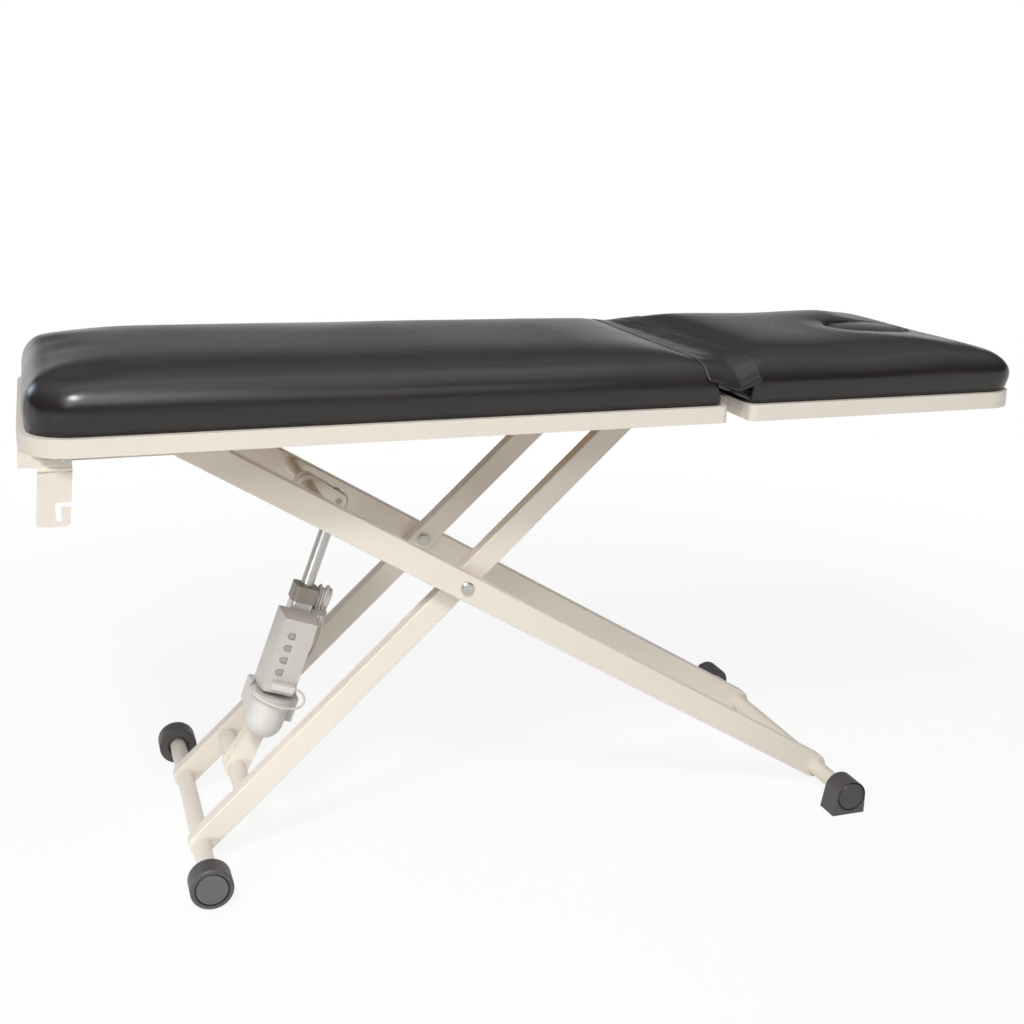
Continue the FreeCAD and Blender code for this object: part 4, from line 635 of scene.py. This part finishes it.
@dataclass(frozen=True)
class ControlLead:
    """Lead from the plug round the motor housing, through a tied hank, back into the gearbox."""

    diameter: float = 5.0
    length: float = 1386.1
    hank_x: float = 30.0
    hank_y: float = 8.0
    hank_low: float = 223.0
    hank_high: float = 307.0
    waist: float = 3.4
    pitch: float = 6.4
    loops: int = 4
    lean: float = 1.1
    taller: tuple[float, ...] = (2.5, -3.0, 4.0, -1.0)
    deeper: tuple[float, ...] = (-2.0, 2.5, -1.0, 1.0)
    wider: tuple[float, ...] = (0.6, -0.5, 0.9, 0.2)
    sleeve_radii: Pair = (4.6, 3.0)
    sleeve_length: float = 13.0
    sleeve_lip: Pair = (0.05, 0.2)
    sleeve_facets: int = 24
    rings: int = 9
    rib: float = 0.45

    def lead_points(self) -> list[Triple]:
        """Route from the plug to the first loop, in the actuator's millimetres."""
        return [(20, -88, 124), (34, -88, 124), (46, -93, 113.5), (46, -95, 100), (36, -98, 91),
                (19, -103, 88.5), (-3, -106, 88.5), (-25, -102, 90.5), (-43, -92, 93.5), (-55, -77, 96.5),
                (-58, -60, 98.7), (-54, -43, 100.2), (-47.5, -28, 101.5), (-41, -13, 103),
                (-35.5, 2, 105.2), (-31, 16, 109), (-25.5, 27.5, 115.5), (-17, 36, 125), (-5, 41, 137),
                (8, 41.5, 150), (19, 38, 164), (27, 30, 179), (30, 18, 196), (30, 8, 213)]

    def loop_points(self, loop: int) -> list[Triple]:
        """Control points of one loop, fanned out where the tie leaves it free.

        Args:
            loop: Number of the loop from the first.

        Returns:
            Points up one side, round the top, down the other side and round the foot.
        """
        x = self.hank_x + loop * self.pitch
        lean = (loop - 1) * self.lean
        wide = self.hank_y + self.wider[loop]
        low, high = self.hank_low, self.hank_high + self.taller[loop]
        middle = (self.hank_low + self.hank_high) / 2
        points = [(x, wide, low + 6), (x, wide - 1.2, low + 20), (x, self.waist, middle - 9),
                  (x, self.waist, middle + 9), (x + lean * 0.5, wide - 1.2, high - 20),
                  (x + lean, wide + 0.5, high - 4), (x + lean, wide, high + 6.5),
                  (x + lean, 0.0, high + 11), (x + lean, -wide, high + 6.5),
                  (x + lean + 0.1 * self.pitch, -wide - 0.5, high - 4),
                  (x + lean * 0.5 + 0.25 * self.pitch, 1.2 - wide, high - 20),
                  (x + 0.4 * self.pitch, -self.waist, middle + 9),
                  (x + 0.6 * self.pitch, -self.waist, middle - 9),
                  (x + 0.85 * self.pitch, 1.2 - wide, low + 20), (x + self.pitch, -wide, low + 6)]
        if loop < self.loops - 1:
            foot = low + self.deeper[loop]
            points += [(x + self.pitch, -wide, foot - 6.5), (x + self.pitch, 0.0, foot - 11),
                       (x + self.pitch, wide, foot - 6.5)]
        return points

    def tail_points(self) -> list[Triple]:
        """Route from the last loop down to the gearbox gland."""
        x = self.hank_x + self.loops * self.pitch
        return [(x, -8, 206), (x - 2, -8, 187), (x - 6, -8, 168), (x - 11, -8, 149), (x - 15.4, -8, 130),
                (38.5, -8, 116), (38, -8, 102)]

    def build(self) -> None:
        """Make the lead and its two tapered sleeves."""
        route = self.lead_points()
        for loop in range(self.loops):
            route += self.loop_points(loop)
        route += self.tail_points()
        points = [ACTUATOR.point(place) for place in route]
        lead = round_cord("control_lead", points, self.diameter / 2, round_steps=4, long_steps=8)
        lead.data.materials.append(LEAD_PVC.material())
        sleeves = [self.sleeve("plug_sleeve", (20, -88, 124), (1, 0, 0)),
                   self.sleeve("gland_sleeve", (38, -8, 102), (0.035, 0, 1))]
        for sleeve in sleeves:
            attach(sleeve, "actuator")
        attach(lead, "actuator")
        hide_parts("lead", "hank", "lead_tail")
        log.info("control lead with %d control points", len(route))

    def sleeve(self, name: str, root: Triple,
               along: Triple) -> Object:
        """Make a ribbed, tapered strain relief round the lead.

        Args:
            name: Name of the piece.
            root: Its wide end, in the actuator's millimetres.
            along: Direction towards its thin end.

        Returns:
            The sleeve.
        """
        thick, thin = self.sleeve_radii
        profile = []
        for step in range(self.rings):
            share = step / (self.rings - 1)
            rib = self.rib if step % 2 else 0.0
            profile.append((thick + (thin - thick) * share - rib, share * self.sleeve_length))
        profile.append((self.diameter / 2 + self.sleeve_lip[0], self.sleeve_length + self.sleeve_lip[1]))
        bm = turned(profile, self.sleeve_facets)
        turn = Vector((0, 0, 1)).rotation_difference(Vector(along)).to_matrix().to_4x4()
        bmesh.ops.transform(bm, verts=bm.verts,
                            matrix=ACTUATOR.matrix() @ Matrix.Translation(Vector(root) * MM) @ turn)
        return finished_piece(name, mesh_from(bm, name), PALE_PLASTIC)


class NeighbourMean:
    """Mean over the points that share an edge with each point of a mesh."""

    def __init__(self, mesh: Mesh) -> None:
        """Read the mesh's edges.

        Args:
            mesh: The mesh.
        """
        self.first, self.last = np.array([edge.vertices[:] for edge in mesh.edges]).T
        ends = np.concatenate((self.first, self.last))
        self.count = np.bincount(ends, minlength=len(mesh.vertices))[:, None]

    def of(self, values: np.ndarray) -> np.ndarray:
        """Mean of the neighbours' values.

        Args:
            values: One row for each point.

        Returns:
            One row of means for each point.
        """
        total = np.zeros_like(values)
        np.add.at(total, self.first, values[self.last])
        np.add.at(total, self.last, values[self.first])
        return total / np.maximum(self.count, 1)


@dataclass(frozen=True)
class Cushion:
    """One upholstered section: foam under taut vinyl, stapled beneath its board.

    The foam is drawn in, remeshed, ironed flat on top and let swell under its cover.
    """

    name: str
    node: str
    board: str
    body: str
    voxel: float
    edge_dip: float
    crown: tuple[Pair, ...]
    draw_in: float = 1.5
    cap: float = 4.0
    held_below: float = 903.0
    pressure: float = 4.0
    frames: int = 20
    stiffness: float = 60.0
    mass: float = 0.3
    quality: int = 4
    easing: int = 40
    smoothing: int = 4
    flat_from: Pair = (0.95, 0.995)
    ironing: int = 60
    skin: float = 1.0
    hem_drop: float = 5.0
    hem_lift: float = 0.5
    board_grow: float = 2.0
    rim_from: Pair = (170.0, 300.0)
    crown_from: Pair = (14.0, 12.0)

    def build(self) -> Object:
        pad = self.remeshed()
        pad = self.swollen(pad)
        self.sculpt(pad.data)
        subdivide = pad.modifiers.new("fine_surface", "SUBSURF")
        subdivide.levels = 1
        subdivide.render_levels = 1
        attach(pad, self.body)
        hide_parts(self.node)
        log.info("%s with %d faces", self.name, len(pad.data.polygons))
        return pad

    def remeshed(self) -> Object:
        """Give the foam block an even skin over its board, drawn in a little where it will swell."""
        mesh = mesh_from(self.filled_block(), self.name)
        block = finished_piece(f"{self.name}_block", mesh, BLACK_VINYL)
        remesh = block.modifiers.new("even_skin", "REMESH")
        remesh.mode = "VOXEL"
        remesh.voxel_size = self.voxel * MM
        skin = evaluated_mesh(block)
        bpy.data.objects.remove(block)
        bm = bmesh.new()
        bm.from_mesh(skin)
        loose = [vert for vert in bm.verts if vert.co.z > self.held_below * MM]
        for _ in range(self.smoothing):
            bmesh.ops.smooth_vert(bm, verts=loose, factor=0.5,
                                  use_axis_x=True, use_axis_y=True, use_axis_z=True)
        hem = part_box(self.node)[0].z + self.hem_lift * MM
        for vert in bm.verts:
            vert.co.z = max(vert.co.z, hem)
        bm.to_mesh(skin)
        bm.free()
        self.iron(skin)
        return finished_piece(self.name, skin, BLACK_VINYL)

    def iron(self, mesh: Mesh) -> None:
        """Level out the remesh's terraces where the skin lies flat, less so towards the rolled edges."""
        heights = np.array([[vert.co.z] for vert in mesh.vertices])
        flat = np.array([[smooth_step(vert.normal.z, *self.flat_from)] for vert in mesh.vertices])
        spread = NeighbourMean(mesh)
        for _ in range(self.ironing):
            heights += flat * (spread.of(heights) - heights) / 2
        for vert, height in zip(mesh.vertices, heights):
            vert.co.z = height[0]

    def filled_block(self) -> BMesh:
        """Foam block with its board's pocket filled and its hem let down for trimming."""
        bm = bmesh.new()
        bm.from_mesh(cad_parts[self.node].data)
        bmesh.ops.remove_doubles(bm, verts=bm.verts, dist=1e-5)
        bm.normal_update()
        low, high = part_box(self.node)
        drawn = self.draw_in * MM
        moves = [vert.normal * drawn for vert in bm.verts]
        for vert, move in zip(bm.verts, moves):
            if vert.co.z > self.held_below * MM:
                vert.co -= move
            elif vert.co.z < low.z + self.skin * MM:
                vert.co.z -= self.hem_drop * MM
        foam = set(bm.verts)
        bm.from_mesh(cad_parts[self.board].data)
        middle = (low + high) / 2
        grow = self.board_grow * MM
        hem = low.z - self.hem_drop * MM
        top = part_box(self.board)[1].z
        for vert in set(bm.verts) - foam:
            vert.co.x += math.copysign(grow, vert.co.x - middle.x)
            vert.co.y += math.copysign(grow, vert.co.y)
            vert.co.z = top + grow if vert.co.z > top - self.skin * MM else hem
        return bm

    def swollen(self, pad: Object) -> Object:
        """Let the cover swell under the foam's pressure, held at its stapled hem.

        Args:
            pad: The even-skinned pad.

        Returns:
            The same piece with the swollen mesh.
        """
        start = [vert.co.copy() for vert in pad.data.vertices]
        held = pad.vertex_groups.new(name="stapled_hem")
        stapled = [i for i, co in enumerate(start) if co.z < self.held_below * MM]
        held.add(stapled, 1.0, "REPLACE")
        cover = pad.modifiers.new("cover", "CLOTH")
        cover.settings.quality = self.quality
        cover.settings.mass = self.mass
        for way in ("tension", "compression", "shear", "bending"):
            setattr(cover.settings, f"{way}_stiffness", self.stiffness)
        cover.settings.use_pressure = True
        cover.settings.uniform_pressure_force = self.pressure
        cover.settings.effector_weights.gravity = 0.0
        cover.settings.vertex_group_mass = held.name
        cover.collision_settings.use_self_collision = False
        cover.point_cache.frame_start = 1
        cover.point_cache.frame_end = self.frames
        scene = bpy.context.scene
        for number in range(1, self.frames + 1):
            scene.frame_set(number)
        swollen = evaluated_mesh(pad)
        scene.frame_set(1)
        self.ease(swollen, start)
        bpy.data.objects.remove(pad)
        return finished_piece(self.name, swollen, BLACK_VINYL)

    def ease(self, mesh: Mesh, start: list[Vector]) -> None:
        """Cap the swelling and spread it over the skin, so that the taut cover keeps no buckles.

        Args:
            mesh: The swollen mesh.
            start: Where its points were before they swelled.
        """
        before = np.array(start)
        moves = np.array([vert.co for vert in mesh.vertices]) - before
        reach = np.linalg.norm(moves, axis=1, keepdims=True)
        moves *= np.minimum(1.0, self.cap * MM / np.maximum(reach, 1e-9))
        held = before[:, 2] < self.held_below * MM
        spread = NeighbourMean(mesh)
        for _ in range(self.easing):
            moves = (moves + spread.of(moves)) / 2
            moves[held] = 0.0
        for vert, place in zip(mesh.vertices, before + moves):
            vert.co = place

    def sculpt(self, mesh: Mesh) -> None:
        """Fill the foam out along the section and draw the long sides in, as taut vinyl does."""
        low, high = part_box(self.node)
        middle = (low.x + high.x) / 2
        half = (high.x - low.x) / 2
        inner, outer = (y * MM for y in self.rim_from)
        above, under = (z * MM for z in self.crown_from)
        for vert in mesh.vertices:
            along = 1.0 - min(1.0, abs(vert.co.x - middle) / half) ** 2
            rim = smooth_step(abs(vert.co.y), inner, outer)
            height = smooth_step(vert.co.z, low.z + above, high.z - under)
            vert.co.z += (self.fullness(vert.co.x / MM) - self.edge_dip * along * rim) * MM * height

    def fullness(self, x: float) -> float:
        """How far the foam stands above its board's even section.

        Args:
            x: Place along the table, in millimetres.

        Returns:
            The rise in millimetres, eased between the places given.
        """
        for (start, low), (end, high) in zip(self.crown, self.crown[1:]):
            if x < end:
                return low + (high - low) * smooth_step(x, start, end)
        return self.crown[-1][1]


MAIN_CUSHION = Cushion("main_upholstery", "main_cushion", "main_board", "main_top",
                       voxel=9.0, edge_dip=1.0,
                       crown=((-955, 15), (-650, 16), (-250, 13), (60, 10), (220, 7), (300, 4)))
HEAD_CUSHION = Cushion("head_upholstery", "head_cushion", "head_board", "head_section",
                       voxel=7.0, edge_dip=2.0,
                       crown=((350, 8), (440, 12), (620, 9), (790, 11), (870, 6), (955, 0)))


@dataclass(frozen=True)
class FacePlug:
    """Padded disc that closes the face hole, with gathered vinyl at its rim."""

    centre_x: float = 789.0
    radius: float = 86.0
    top_z: float = 976.0
    edge_round: float = 9.0
    crown: float = 2.5
    steps: int = 6
    gathers: int = 26
    gather_band: Pair = (26.0, 4.0)
    gather_reach: float = 40.0
    gather_height: float = 0.9

    def build(self) -> None:
        """Make the disc by turning its section, then gather its rim."""
        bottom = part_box("face_plug")[0].z / MM
        shoulder = self.top_z - self.crown - self.edge_round
        section = [(0.0, self.top_z)]
        for step in range(1, self.steps + 1):
            share = step / self.steps
            section.append(((self.radius - self.edge_round) * share, self.top_z - self.crown * share ** 2))
        for step in range(1, self.steps + 1):
            turn = math.radians(90 * step / self.steps)
            section.append((self.radius - self.edge_round * (1 - math.sin(turn)),
                            shoulder + self.edge_round * math.cos(turn)))
        section += [(self.radius - 0.6, shoulder - 20), (self.radius - 0.4, bottom + 8),
                    (self.radius - 4, bottom), (0.0, bottom)]
        bm = turned(section, self.gathers * self.steps)
        for vert in bm.verts:
            self.gather(vert)
        bmesh.ops.translate(bm, verts=bm.verts, vec=(self.centre_x * MM, 0.0, 0.0))
        plug = finished_piece("face_plug_pad", mesh_from(bm, "face_plug_pad"), BLACK_VINYL)
        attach(plug, "face_plug")
        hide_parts("face_plug")
        log.info("face plug with %d gathers", self.gathers)

    def gather(self, vert: BMVert) -> None:
        """Push one point of the rim into the uneven gathers of the cover."""
        reach = math.hypot(vert.co.x, vert.co.y) / MM
        inner, outer = self.gather_band
        rim = smooth_step(reach, self.radius - inner, self.radius - outer)
        if rim == 0.0 or vert.co.z / MM < self.top_z - self.gather_reach:
            return
        angle = math.atan2(vert.co.y, vert.co.x)
        uneven = noise.noise((3 * math.cos(angle), 3 * math.sin(angle), 0.4))
        fold = math.sin(self.gathers * angle + 4 * uneven) * (0.55 + uneven)
        vert.co.z += fold * rim * self.gather_height * MM


def surface_tree(obj: Object) -> BVHTree:
    """Search tree of an object's finished surface."""
    bm = bmesh.new()
    bm.from_mesh(evaluated_mesh(obj))
    tree = BVHTree.FromBMesh(bm)
    bm.free()
    return tree


@dataclass(frozen=True)
class GapFlap:
    """Vinyl strip sewn to both cushions, which sags into the gap over the hinge."""

    main_tree: BVHTree
    head_tree: BVHTree
    main_x: float = 261.0
    head_x: float = 369.0
    fold_x: Pair = (326.0, 284.0)
    half_length: float = 318.0
    sag: Pair = (3.0, 13.0)
    lift: float = 0.6
    thickness: float = 1.4
    side_z: float = 935.0
    side_slack: float = 25.0
    probe_z: float = 1200.0
    dip_from: float = 0.62
    pucker: float = 0.9
    easing: int = 2
    seam_stride: int = 3
    seam_wander: float = 0.5
    seam_lift: float = 0.6
    across_steps: int = 54
    along_steps: int = 170

    def build(self) -> None:
        """Make the strip and its seam edges; the main seam's paler grey is a painted highlight."""
        rows = [self.row(-1.0 + 2.0 * step / self.along_steps) for step in range(self.along_steps + 1)]
        bm = bmesh.new()
        grid = [[bm.verts.new(point) for point in row] for row in rows]
        for near, far in zip(grid, grid[1:]):
            for left in range(self.across_steps):
                bm.faces.new((near[left], near[left + 1], far[left + 1], far[left]))
        flap = finished_piece("gap_flap_vinyl", mesh_from(bm, "gap_flap_vinyl"), BLACK_VINYL)
        wall = flap.modifiers.new("hide", "SOLIDIFY")
        wall.thickness = self.thickness * MM
        wall.offset = 1.0
        flap.data = evaluated_mesh(flap)
        flap.modifiers.clear()
        flap.data.polygons.foreach_set("use_smooth", [True] * len(flap.data.polygons))
        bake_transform(flap)
        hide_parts("gap_flap")
        # The main seam's paler grey finish is a painted highlight along its rolled edge.
        self.seam("main_seam_edge", [row[0] for row in rows], "main_top", 1.2, HIGHLIT_SEAM_VINYL)
        self.seam("head_seam_edge", [row[-1] for row in rows], "head_section", 1.0, BLACK_VINYL)

    def seat(self, tree: BVHTree, x: float, y: float) -> float | None:
        """Height of a cushion under a point, or None where there is none."""
        above = Vector((x * MM, y * MM, self.probe_z * MM))
        hit = tree.ray_cast(above, Vector((0, 0, -1)))[0]
        if hit is None or hit.z < self.side_z * MM - self.side_slack * MM:
            return None
        return hit.z / MM

    def row(self, along: float) -> list[Vector]:
        """Points across the strip at one place along it.

        Args:
            along: From -1 at the near end to 1 at the far end.

        Returns:
            The points from the main seam to the head seam, in metres.
        """
        y = along * self.half_length
        start = (self.seat(self.main_tree, self.main_x, y) or self.side_z) + self.lift
        end = (self.seat(self.head_tree, self.head_x, y) or self.side_z) + self.lift
        near = smooth_step(-along, self.dip_from, 1.0)
        fold = min(start, end) - self.sag[0] - (self.sag[1] - self.sag[0]) * near
        fold_x = self.fold_x[0] + (self.fold_x[1] - self.fold_x[0]) * (along + 1.0) / 2
        heights = []
        places = []
        for step in range(self.across_steps + 1):
            x = self.main_x + (self.head_x - self.main_x) * step / self.across_steps
            if x < fold_x:
                hung = start + (fold - start) * ((x - self.main_x) / (fold_x - self.main_x))
            else:
                hung = fold + (end - fold) * ((x - fold_x) / (self.head_x - fold_x))
            free = math.sin(math.pi * step / self.across_steps)
            hung += self.pucker * (noise.noise((x * 0.06, y * 0.02, 0.7)) * free)
            resting = [self.seat(tree, x, y) for tree in (self.main_tree, self.head_tree)]
            heights.append(max([hung, *(z + self.lift for z in resting if z is not None)]))
            places.append(x)
        for _ in range(self.easing):
            eased = [(a + 2 * b + c) / 4 for a, b, c in zip(heights, heights[1:], heights[2:])]
            heights = [heights[0], *eased, heights[-1]]
        return [Vector((x, y, z)) * MM for x, z in zip(places, heights)]

    def seam(self, name: str, line: list[Vector], body: str, radius: float, finish: Finish) -> None:
        """Make one rolled seam edge along the strip.

        Args:
            name: Name of the piece.
            line: Points along the edge of the strip.
            body: Body that carries the seam.
            radius: Half thickness of the rolled edge.
            finish: Its finish.
        """
        points = []
        for place in line[::self.seam_stride]:
            wander = noise.noise((place.y * 20.0, radius, 0.2)) * self.seam_wander * MM
            points.append(Vector((place.x + wander, place.y, place.z + self.seam_lift * MM)))
        rough = round_cord(f"{name}_curve", points, radius, round_steps=3, long_steps=4)
        mesh = evaluated_mesh(rough)
        bpy.data.objects.remove(rough)
        seam = finished_piece(name, mesh, finish)
        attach(seam, body)


@dataclass(frozen=True)
class WeldBeads:
    """Painted weld rings where the cross tubes meet the legs."""

    bead: float = 2.4
    ripples: int = 34
    facets: int = 8
    rise: float = 0.6
    stand_off: float = 0.4
    ripple: float = 0.13
    uneven: float = 0.1

    def rings(self) -> dict[str, list[tuple[str, float, int]]]:
        """Tube, leg face and the way that the face looks from its leg, by body."""
        return {
            "outer_legs": [
                ("foot_tube", 196.0, 1), ("foot_tube", 166.0, -1), ("rod_cross_tube", 166.0, -1)],
            "inner_legs": [
                ("axle_tube", 162.0, 1), ("axle_tube", 132.0, -1), ("base_cross_tube", 132.0, -1)],
        }

    def build(self) -> None:
        """Lay a ring at each leg face that a tube passes."""
        for body, places in self.rings().items():
            bm = bmesh.new()
            for tube, face, outward in places:
                low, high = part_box(tube)
                centre = (low + high) / 2
                radius = (high.z - low.z) / 2
                for side in Side:
                    y = side.value * (face + outward * self.stand_off) * MM
                    self.ring(bm, Vector((centre.x, y, centre.z)), radius)
            beads = finished_piece(f"{body}_welds", mesh_from(bm, body), WELD_PAINT)
            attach(beads, body)
            log.info("welds of the %s", body)

    def ring(self, bm: BMesh, centre: Vector, radius: float) -> None:
        """Add one rippled ring about Y.

        Args:
            bm: Mesh that gets the ring.
            centre: Middle of the ring.
            radius: Radius of the tube.
        """
        ring_radius = radius + self.rise * MM
        seat = Matrix.Translation((ring_radius, 0, 0))
        made = bmesh.ops.create_circle(bm, segments=self.facets, radius=self.bead * MM, matrix=seat)
        edges = list({edge for vert in made["verts"] for edge in vert.link_edges})
        before = set(bm.verts) - set(made["verts"])
        bmesh.ops.spin(bm, geom=[*made["verts"], *edges], cent=(0, 0, 0), axis=(0, 1, 0), dvec=(0, 0, 0),
                       angle=math.tau, steps=4 * self.ripples, use_merge=True, use_duplicate=False)
        new = [vert for vert in bm.verts if vert not in before]
        bmesh.ops.remove_doubles(bm, verts=new, dist=1e-7)
        new = [vert for vert in bm.verts if vert not in before]
        for vert in new:
            angle = math.atan2(vert.co.z, vert.co.x)
            core = Vector((math.cos(angle), 0, math.sin(angle))) * ring_radius
            size = 1.0 + self.ripple * math.sin(self.ripples * angle)
            size += self.uneven * math.sin(3 * angle + centre.x * 9)
            vert.co = centre + core + (vert.co - core) * size


@dataclass(frozen=True)
class SocketBlanks:
    """D-shaped blanking plugs set a little below the face of the control box."""

    x: float = -18.0
    lowest_z: float = 124.0
    pitch: float = 25.6
    count: int = 4
    floor_y: float = -76.0
    thickness: float = 2.4
    radius: float = 6.4
    reach: float = 7.9
    arc_steps: int = 16
    bevel: float = 0.5

    def build(self) -> None:
        """Make the blanks as one piece, from the socket above the plugged one."""
        bm = bmesh.new()
        for index in range(self.count):
            self.blank(bm, self.lowest_z + (index + 1) * self.pitch)
        bmesh.ops.transform(bm, verts=bm.verts, matrix=ACTUATOR.matrix())
        mesh = mesh_from(bm, "socket_blanks")
        # The blanks' darker, browner grey is painted shade of the socket recesses.
        blanks = finished_piece("socket_blanks", mesh, SHADED_SOCKET_PLASTIC, smooth=False)
        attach(blanks, "actuator")
        log.info("socket blanks")

    def blank(self, bm: BMesh, z: float) -> None:
        """Add one blank with a bevelled face.

        Args:
            bm: Mesh that gets the blank.
            z: Height of its middle along the actuator.
        """
        outline = [(self.reach, -self.radius), (self.reach, self.radius)]
        for step in range(self.arc_steps + 1):
            turn = math.radians(90 + 180 * step / self.arc_steps)
            outline.append((self.radius * math.cos(turn), self.radius * math.sin(turn)))
        corners = [bm.verts.new(Vector((self.x + x, self.floor_y, z + up)) * MM) for x, up in outline]
        face = bm.faces.new(corners)
        made = bmesh.ops.extrude_face_region(bm, geom=[face])
        moved = [part for part in made["geom"] if isinstance(part, BMVert)]
        bmesh.ops.translate(bm, verts=moved, vec=(0, -self.thickness * MM, 0))
        rim = [edge for edge in bm.edges if all(vert in moved for vert in edge.verts)]
        bmesh.ops.bevel(bm, geom=rim, offset=self.bevel * MM, segments=2, profile=0.5, affect="EDGES",
                        material=-1)


@dataclass(frozen=True)
class SteelworkDress:
    """Finishes of the pieces whose shape needs nothing added."""

    underside_from: float = -0.5

    def finishes(self) -> dict[Finish, list[str]]:
        """Node names by finish."""
        return {
            CREAM_PAINT: [
                "outer_leg_near", "outer_leg_far", "inner_leg_near", "inner_leg_far", "foot_tube",
                "axle_tube", "base_cross_tube", "rod_cross_tube", "base_bracket", "rod_bracket",
                "main_frame", "head_frame", "cross_members", "slide_channels", "pivot_plates",
                "end_cross_bar", "roll_leaves", "roll_hook_near", "roll_hook_far", "main_hinge_arms",
                "head_hinge_arms"],
            ZINC_STEEL: [
                "roller_shaft", "rod_pin", "base_pin", "top_pivot_shaft", "pivot_bolts", "wheel_spindles",
                "hinge_pins", "roll_leaf_screws", "lift_screw", "motor", "rod_end"],
            GREY_RUBBER: ["wheel_near", "wheel_far", "foot_near", "foot_far"],
            CAP_PLASTIC: ["wheel_cap_near", "wheel_cap_far"],
            FOOT_CAP_PLASTIC: ["foot_caps"],
            PALE_PLASTIC: ["motor_housing", "lead_plug"],
            BOX_PLASTIC: ["control_box_back", "control_box_cover"],
            COLLAR_PLASTIC: ["guide_collar"],
            NYLON: ["pivot_bushes", "guide_roller_near", "guide_roller_far", "drive_nut"],
            TIE_NYLON: ["hank_tie"],
            ROD_METAL: ["push_rod"],
            ANODISED: ["actuator_tube"],
            PLYWOOD: ["main_board", "head_board"],
        }

    def wrap_boards(self) -> None:
        """Carry the black cover round the sides of the boards, so that only their undersides show wood."""
        for name in ("main_board", "head_board"):
            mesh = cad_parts[name].data
            mesh.materials.append(BLACK_VINYL.material())
            for face in mesh.polygons:
                face.material_index = 0 if face.normal.z < self.underside_from else 1

    def build(self) -> None:
        """Give each node its finish."""
        for finish, names in self.finishes().items():
            for name in names:
                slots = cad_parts[name].data.materials
                slots.clear()
                slots.append(finish.material())
        self.wrap_boards()
        log.info("steelwork dressed")


def main() -> None:
    """Build the scene in order: camera and lead first, then the soft pieces and the rest."""
    Studio().build()
    ControlLead().build()
    trees = [surface_tree(cushion.build()) for cushion in (MAIN_CUSHION, HEAD_CUSHION)]
    FacePlug().build()
    GapFlap(*trees).build()
    WeldBeads().build()
    SocketBlanks().build()
    SteelworkDress().build()


if __name__ == "__main__":
    main()
